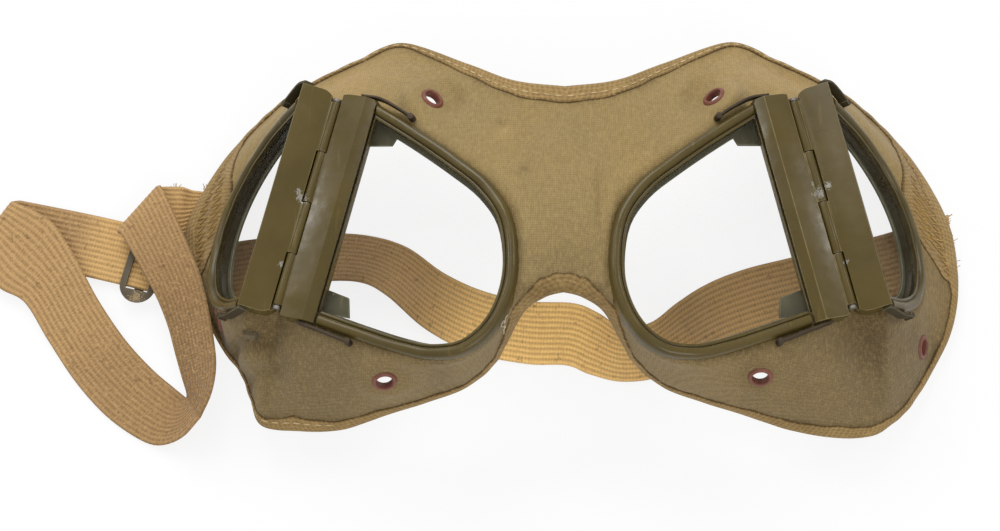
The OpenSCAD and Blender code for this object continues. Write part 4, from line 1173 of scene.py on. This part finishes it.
def frayed(side):
    """Loose ends of yarn where the strap's cut end comes out of the seam."""
    rng = np.random.RandomState(5 if side == "left" else 9)
    pairs = []
    for k in range(18):
        if side == "left":
            t = (rng.rand() * 0.4 + k % 3) / 2.5
            root = np.array([101.4 + 1.0 * t, 5.8 - 16.0 * t, 0.9])
            way = np.array([1.0, 0.35 + 0.3 * rng.randn(), 0.35 + 0.3 * rng.rand()])
        else:
            t = (rng.rand() * 0.5 + k % 2 * 1.5) / 2
            root = np.array([-106.5 + 11.5 * t, 12.6 + 0.2 * t, 4.6 - 3.2 * t])
            way = np.array([0.6 * rng.randn(), 1.0, 0.3 * rng.rand()])
        length = 0.5 + 1.3 * rng.rand() ** 2
        bend = rng.randn(3) * 0.5
        p = [root, root + way * length * 0.5 + bend * 0.15, root + way * length + bend * 0.6]
        for q in p:
            q[2] = max(q[2], 0.35)
        pairs += thread_path(p, 5)
    return pairs


# Settings

COLOUR = {"subtype": "COLOR", "size": 3, "min": 0, "max": 1}


class GogglesFinish(bpy.types.PropertyGroup):
    """Colours of the goggles' finishes"""
    cloth: FloatVectorProperty(name="Cloth", description="Colour of the mask's canvas",
                               default=(0.345, 0.252, 0.11), **COLOUR)
    lining: FloatVectorProperty(name="Lining", description="Colour of the soft lining",
                                default=(0.3, 0.23, 0.12), **COLOUR)
    tape: FloatVectorProperty(name="Tape", description="Colour of the binding tape",
                              default=(0.42, 0.28, 0.115), **COLOUR)
    strap: FloatVectorProperty(name="Strap", description="Colour of the elastic",
                               default=(0.47, 0.29, 0.13), **COLOUR)
    paint: FloatVectorProperty(name="Paint", description="Colour of the frames' paint",
                               default=(0.088, 0.062, 0.014), **COLOUR)
    retainer: FloatVectorProperty(name="Retainer", description="Colour of the inner flanges",
                                  default=(0.085, 0.078, 0.044), **COLOUR)
    eyelet: FloatVectorProperty(name="Eyelet", description="Colour of the eyelets",
                                default=(0.2, 0.07, 0.045), **COLOUR)


class GogglesSizes(bpy.types.PropertyGroup):
    """Sizes of the sewn details and the folds"""
    thread_radius: FloatProperty(name="Thread Radius", default=0.17, min=0.05, max=0.5,
                                 description="Radius of the sewing thread, in mm")
    stitch_pitch: FloatProperty(name="Stitch Pitch", default=2.9, min=1.0, max=5.0,
                                description="Length of one stitch and its gap, in mm")
    fold_ease: FloatProperty(name="Fold Ease", default=0.42, min=0.05, max=0.8,
                             description="Rounding of the bars' folds, in mm")


# Operators

class GOGGLES_OT_mask(bpy.types.Operator):
    """Make the mask's cloth and its lining"""
    bl_idname = "goggles.mask"
    bl_label = "Mask cloth"

    def execute(self, context):
        behind, back = CLOTH_T + 0.05, CLOTH_T + LINING_T
        for side in ("left", "right"):
            half = half_of(side)
            cloth = half.shell(side + "_mask_cloth", 0.0, CLOTH_T, "cloth")
            lining = half.shell(side + "_mask_lining", behind, back, "lining", first=3)
            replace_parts(cloth, "mask_cloth", side + "_wing_cloth")
            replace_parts(lining, "mask_lining", side + "_wing_lining")
            for obj in (cloth, lining):
                across_hinge(obj)
        return {"FINISHED"}


class GOGGLES_OT_binding(bpy.types.Operator):
    """Make the tape round the mask's edge and its stitches"""
    bl_idname = "goggles.binding"
    bl_label = "Binding tape"

    def execute(self, context):
        sizes = context.scene.goggles_sizes
        for side in ("left", "right"):
            half = half_of(side)
            binding = half.binding(side + "_binding")
            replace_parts(binding, "forehead_binding", "nose_binding", side + "_wing_binding")
            across_hinge(binding)
            rim, inward, n, show = half.edge_frame()
            line = rim + (show * 0.68)[:, None] * inward
            inner = rim + (show + 1.1)[:, None] * inward
            face = []
            for first, last in [(0, 5)] + ([(17, 20)] if side == "right" else []):
                part = slice(first * COLS, last * COLS)
                face += running(line[part], n[part] * 0.64, sizes.stitch_pitch, 0.8)
            back = running(inner, -n * (CLOTH_T + LINING_T + 0.02), sizes.stitch_pitch, 0.9)
            for name, ends in (("_edge_stitches", face), ("_back_stitches", back)):
                seam = stitched(side + name, mirrored(ends, side), sizes.thread_radius, "thread")
                across_hinge(seam)
        return {"FINISHED"}


class GOGGLES_OT_eyelets(bpy.types.Operator):
    """Make the vent eyelets"""
    bl_idname = "goggles.eyelets"
    bl_label = "Eyelets"

    def execute(self, context):
        middle = [("left", 0), ("left", 1), ("right", 0), ("right", 1)]
        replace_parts(eyelet_ring("mask_eyelet_rings", middle, "goggles"), "mask_eyelets")
        for side in ("left", "right"):
            ring = eyelet_ring(side + "_eyelet_ring", [(side, 2)], side + "_side")
            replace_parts(ring, side + "_wing_eyelet")
        return {"FINISHED"}


class GOGGLES_OT_frames(bpy.types.Operator):
    """Make the rolled frames, the hinge bars, the flanges, the clips and the slider"""
    bl_idname = "goggles.frames"
    bl_label = "Frames and bars"

    def execute(self, context):
        ease = context.scene.goggles_sizes.fold_ease
        for side in ("left", "right"):
            for where, body, clip in (("front", "goggles", "clip"),
                                      ("side", side + "_side", "painted clip")):
                part = side + "_" + where
                rolled_frame(part + "_rim", side, where, part + "_frame")
                bar = eased_copy(part + "_bar_sheet", part + "_bar", finish("paint"), ease, 4)
                flange = eased_copy(part + "_flange", part + "_retainer", finish("retainer"), 0.12,
                                    flat=False)
                clips = eased_copy(part + "_clip_leaves", part + "_clips", finish(clip), 0.16)
                mark_folds(bar, side)
                if where == "front":
                    seat_tabs(flange, side)
                for obj, slot in ((bar, "frame_paint"), (flange, "retainer_metal"),
                                  (clips, "clip_steel")):
                    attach(obj, body)
                dress(part + "_pane", "glass")
            dress(side + "_hinge_pin", "pin")
        slider = eased_copy("slider_plate", "strap_slider", finish("slider"), 0.25, 3, False)
        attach(slider, "slider")
        return {"FINISHED"}


class GOGGLES_OT_strap(bpy.types.Operator):
    """Make the elastic strap in four stretches; the middle one rides the goggles and the roll the
    right side
    """
    bl_idname = "goggles.strap"
    bl_label = "Strap"

    def execute(self, context):
        under = LEFT_END[:1] + UNDER_MASK
        cut = 7
        parts = [
            ("strap_left_end", under, 0, cut),
            ("strap_under_mask", under + RETURN[:1], cut, len(under)),
            ("strap_return", RETURN + ROLL[:1], 0, len(RETURN)),
            ("strap_roll", ROLL, 0, len(ROLL) - 1),
        ]
        start, made, lengths = 0.0, [], []
        for name, crossings, first, last in parts:
            obj, length = band(name, crossings, first, last, start)
            start += length
            made.append(obj)
            lengths.append(length * MM)
        left, middle, back, roll = made
        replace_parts(left, "strap", "left_strap_end")
        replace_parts(middle, "strap")
        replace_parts(back, "strap")
        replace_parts(roll, "right_strap_end")
        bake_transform(left)
        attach(middle, "goggles")
        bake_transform(back)
        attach(roll, "right_side")
        return {"FINISHED"}


class GOGGLES_OT_sewing(bpy.types.Operator):
    """Make the zigzag seams, the pulled threads and the frayed ends"""
    bl_idname = "goggles.sewing"
    bl_label = "Seams and threads"

    def execute(self, context):
        radius = context.scene.goggles_sizes.thread_radius
        # Each zigzag: where it starts and stops along the sewn end, and the shares it runs between
        zigzags = {
            "left": ((0.12, 0.95, 0.75, 1.0), (0.3, 0.85, 0.3, 0.62), (0.42, 0.8, 0.5, 0.8)),
            "right": ((0.2, 0.95, 0.7, 1.0), (0.3, 0.8, 0.3, 0.62)),
        }
        for side, rows in zigzags.items():
            half = half_of(side)
            patch = half.patch(side + "_sewn_end")
            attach(patch, side + "_side")
            pairs = []
            for start, stop, low, high in rows:
                a, b = half.sewn_end(low, 0.62), half.sewn_end(high, 0.62)
                k = np.arange(int((stop - start) * 34))
                u = (np.linspace(start, stop, len(k)) + 0.004 * np.sin(k * 2.3)) * (len(a) - 1)
                line = np.where((k % 2 == 0)[:, None], path_at(a, u), path_at(b, u))
                pairs += zip(line, line[1:])
            seam = stitched(side + "_zigzag", mirrored(pairs, side), radius, "gold thread", 0.52)
            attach(seam, side + "_side")
            fray = stitched(side + "_frayed_threads", frayed(side), radius * 0.55, "gold thread",
                            0.62)
            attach(fray, side + "_side")
        trail = [c + 0.45 * n for c, n in (half_of("right").near(x, y) for x, y in PULLED)]
        loop = mirrored(thread_path(trail, 30), "right")
        pulled = stitched("pulled_thread", loop, radius * 0.7, "pale thread", 0.62)
        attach(pulled, "goggles")
        return {"FINISHED"}


# Stage

CAMERA_AZIMUTH, CAMERA_ELEVATION, CAMERA_ROLL, CAMERA_FAR = 3.0, 70.6, 2.9, 0.65
CAMERA_TARGET = Vector((0, 0, 0.025))
LAMP_TARGET = Vector((0, 0, 0.02))
# Each lamp: place in m, width in m and power in W
LAMPS = {
    "key lamp": ((-0.2, 0.85, 0.95), 0.8, 7.5), "fill lamp": ((0.35, -0.9, 0.95), 0.8, 4.2),
    "left lamp": ((-0.95, 0.42, 0.8), 0.2, 1.5), "right lamp": ((0.95, 0.42, 0.8), 0.2, 1.3),
    "soft lamp": ((-0.24, 0.26, 1.16), 0.16, 0.45),
}


class GOGGLES_OT_stage(bpy.types.Operator):
    """Set the floor, the lamps, the world and the camera"""
    bl_idname = "goggles.stage"
    bl_label = "Stage"

    def execute(self, context):
        context.scene.view_settings.view_transform = "Standard"
        pale_table()
        for name, (place, size, watts) in LAMPS.items():
            data = bpy.data.lights.new(name, "AREA")
            data.shape, data.size, data.energy = "DISK", size, watts
            lamp = stand(name, data)
            lamp.location = place
            way = LAMP_TARGET - Vector(place)
            lamp.rotation_euler = way.to_track_quat("-Z", "Y").to_euler()
        world = context.scene.world = bpy.data.worlds.new("studio")
        world.use_nodes = True
        world.node_tree.nodes.clear()
        add = functools.partial(add_node, world.node_tree)
        seen = add("ShaderNodeLightPath")["Is Camera Ray"]
        lit, pure = (add("ShaderNodeBackground", {0: (1, 1, 1, 1), 1: k})[0] for k in (0.55, 1.0))
        mixed = add("ShaderNodeMixShader", {0: seen, 1: lit, 2: pure})[0]
        add("ShaderNodeOutputWorld", {0: mixed})
        context.scene.camera = photo_camera()
        return {"FINISHED"}


def pale_table():
    """A table whose white is partly its own, so that the shadows stay but are pale."""
    mesh = bpy.data.meshes.new("table")
    mesh.from_pydata([(-3, -3, 0), (3, -3, 0), (3, 3, 0), (-3, 3, 0)], [], [(0, 1, 2, 3)])
    table = stand("table", mesh)
    table.location.z = -0.0002
    r = Recipe("pale table", Roughness=0.8, Specular_IOR_Level=0.1)
    r.base(r.noise(30, 2), (0.93, 0.93, 0.925), (0.95, 0.95, 0.945))
    mesh.materials.append(r.done())
    sight = r.node("ShaderNodeLightPath")
    seen = r.times(r.most(sight["Is Camera Ray"], sight["Is Transmission Ray"]), 0.84)
    own = r.node("ShaderNodeEmission")[0]
    mixed = r.node("ShaderNodeMixShader", {0: seen, 1: r.shader.outputs[0], 2: own})[0]
    r.tree.links.new(mixed, r.tree.nodes["Material Output"].inputs["Surface"])
    return table


def photo_camera():
    """The photograph's view: slightly from the chin, turned a little."""
    a, e, roll = map(math.radians, (CAMERA_AZIMUTH, CAMERA_ELEVATION, CAMERA_ROLL))
    toward = Vector((math.sin(a) * math.cos(e), -math.cos(a) * math.cos(e), math.sin(e)))
    right = Vector((math.cos(a), math.sin(a), 0))
    up = toward.cross(right)
    x = right * math.cos(roll) - up * math.sin(roll)
    y = right * math.sin(roll) + up * math.cos(roll)
    data = bpy.data.cameras.new("camera")
    data.sensor_width, data.lens, data.clip_start = 36.0, 91.0, 0.01
    data.shift_x, data.shift_y = -0.0654, -0.0594
    camera = stand("camera", data)
    turned = Matrix((x, y, toward)).transposed().to_4x4()
    camera.matrix_world = Matrix.Translation(CAMERA_TARGET + toward * CAMERA_FAR) @ turned
    return camera


class GOGGLES_PT_panel(bpy.types.Panel):
    """Goggles in the sidebar"""
    bl_label = "Goggles"
    bl_idname = "GOGGLES_PT_panel"
    bl_space_type = "VIEW_3D"
    bl_region_type = "UI"
    bl_category = "Goggles"

    def draw(self, context):
        for group in (context.scene.goggles_finish, context.scene.goggles_sizes):
            for key in group.bl_rna.properties.keys():
                if key not in ("rna_type", "name"):
                    self.layout.prop(group, key)
        for op in OPERATORS:
            self.layout.operator(op.bl_idname)


OPERATORS = (GOGGLES_OT_stage, GOGGLES_OT_frames, GOGGLES_OT_mask, GOGGLES_OT_binding,
             GOGGLES_OT_eyelets, GOGGLES_OT_strap, GOGGLES_OT_sewing)
CLASSES = (GogglesFinish, GogglesSizes) + OPERATORS + (GOGGLES_PT_panel,)


def register():
    for cls in CLASSES:
        bpy.utils.register_class(cls)
    bpy.types.Scene.goggles_finish = PointerProperty(type=GogglesFinish)
    bpy.types.Scene.goggles_sizes = PointerProperty(type=GogglesSizes)


def unregister():
    del bpy.types.Scene.goggles_sizes
    del bpy.types.Scene.goggles_finish
    for cls in reversed(CLASSES):
        bpy.utils.unregister_class(cls)


def main():
    register()
    for op in OPERATORS:
        getattr(bpy.ops.goggles, op.bl_idname.split(".")[1])()


if __name__ == "__main__":
    main()
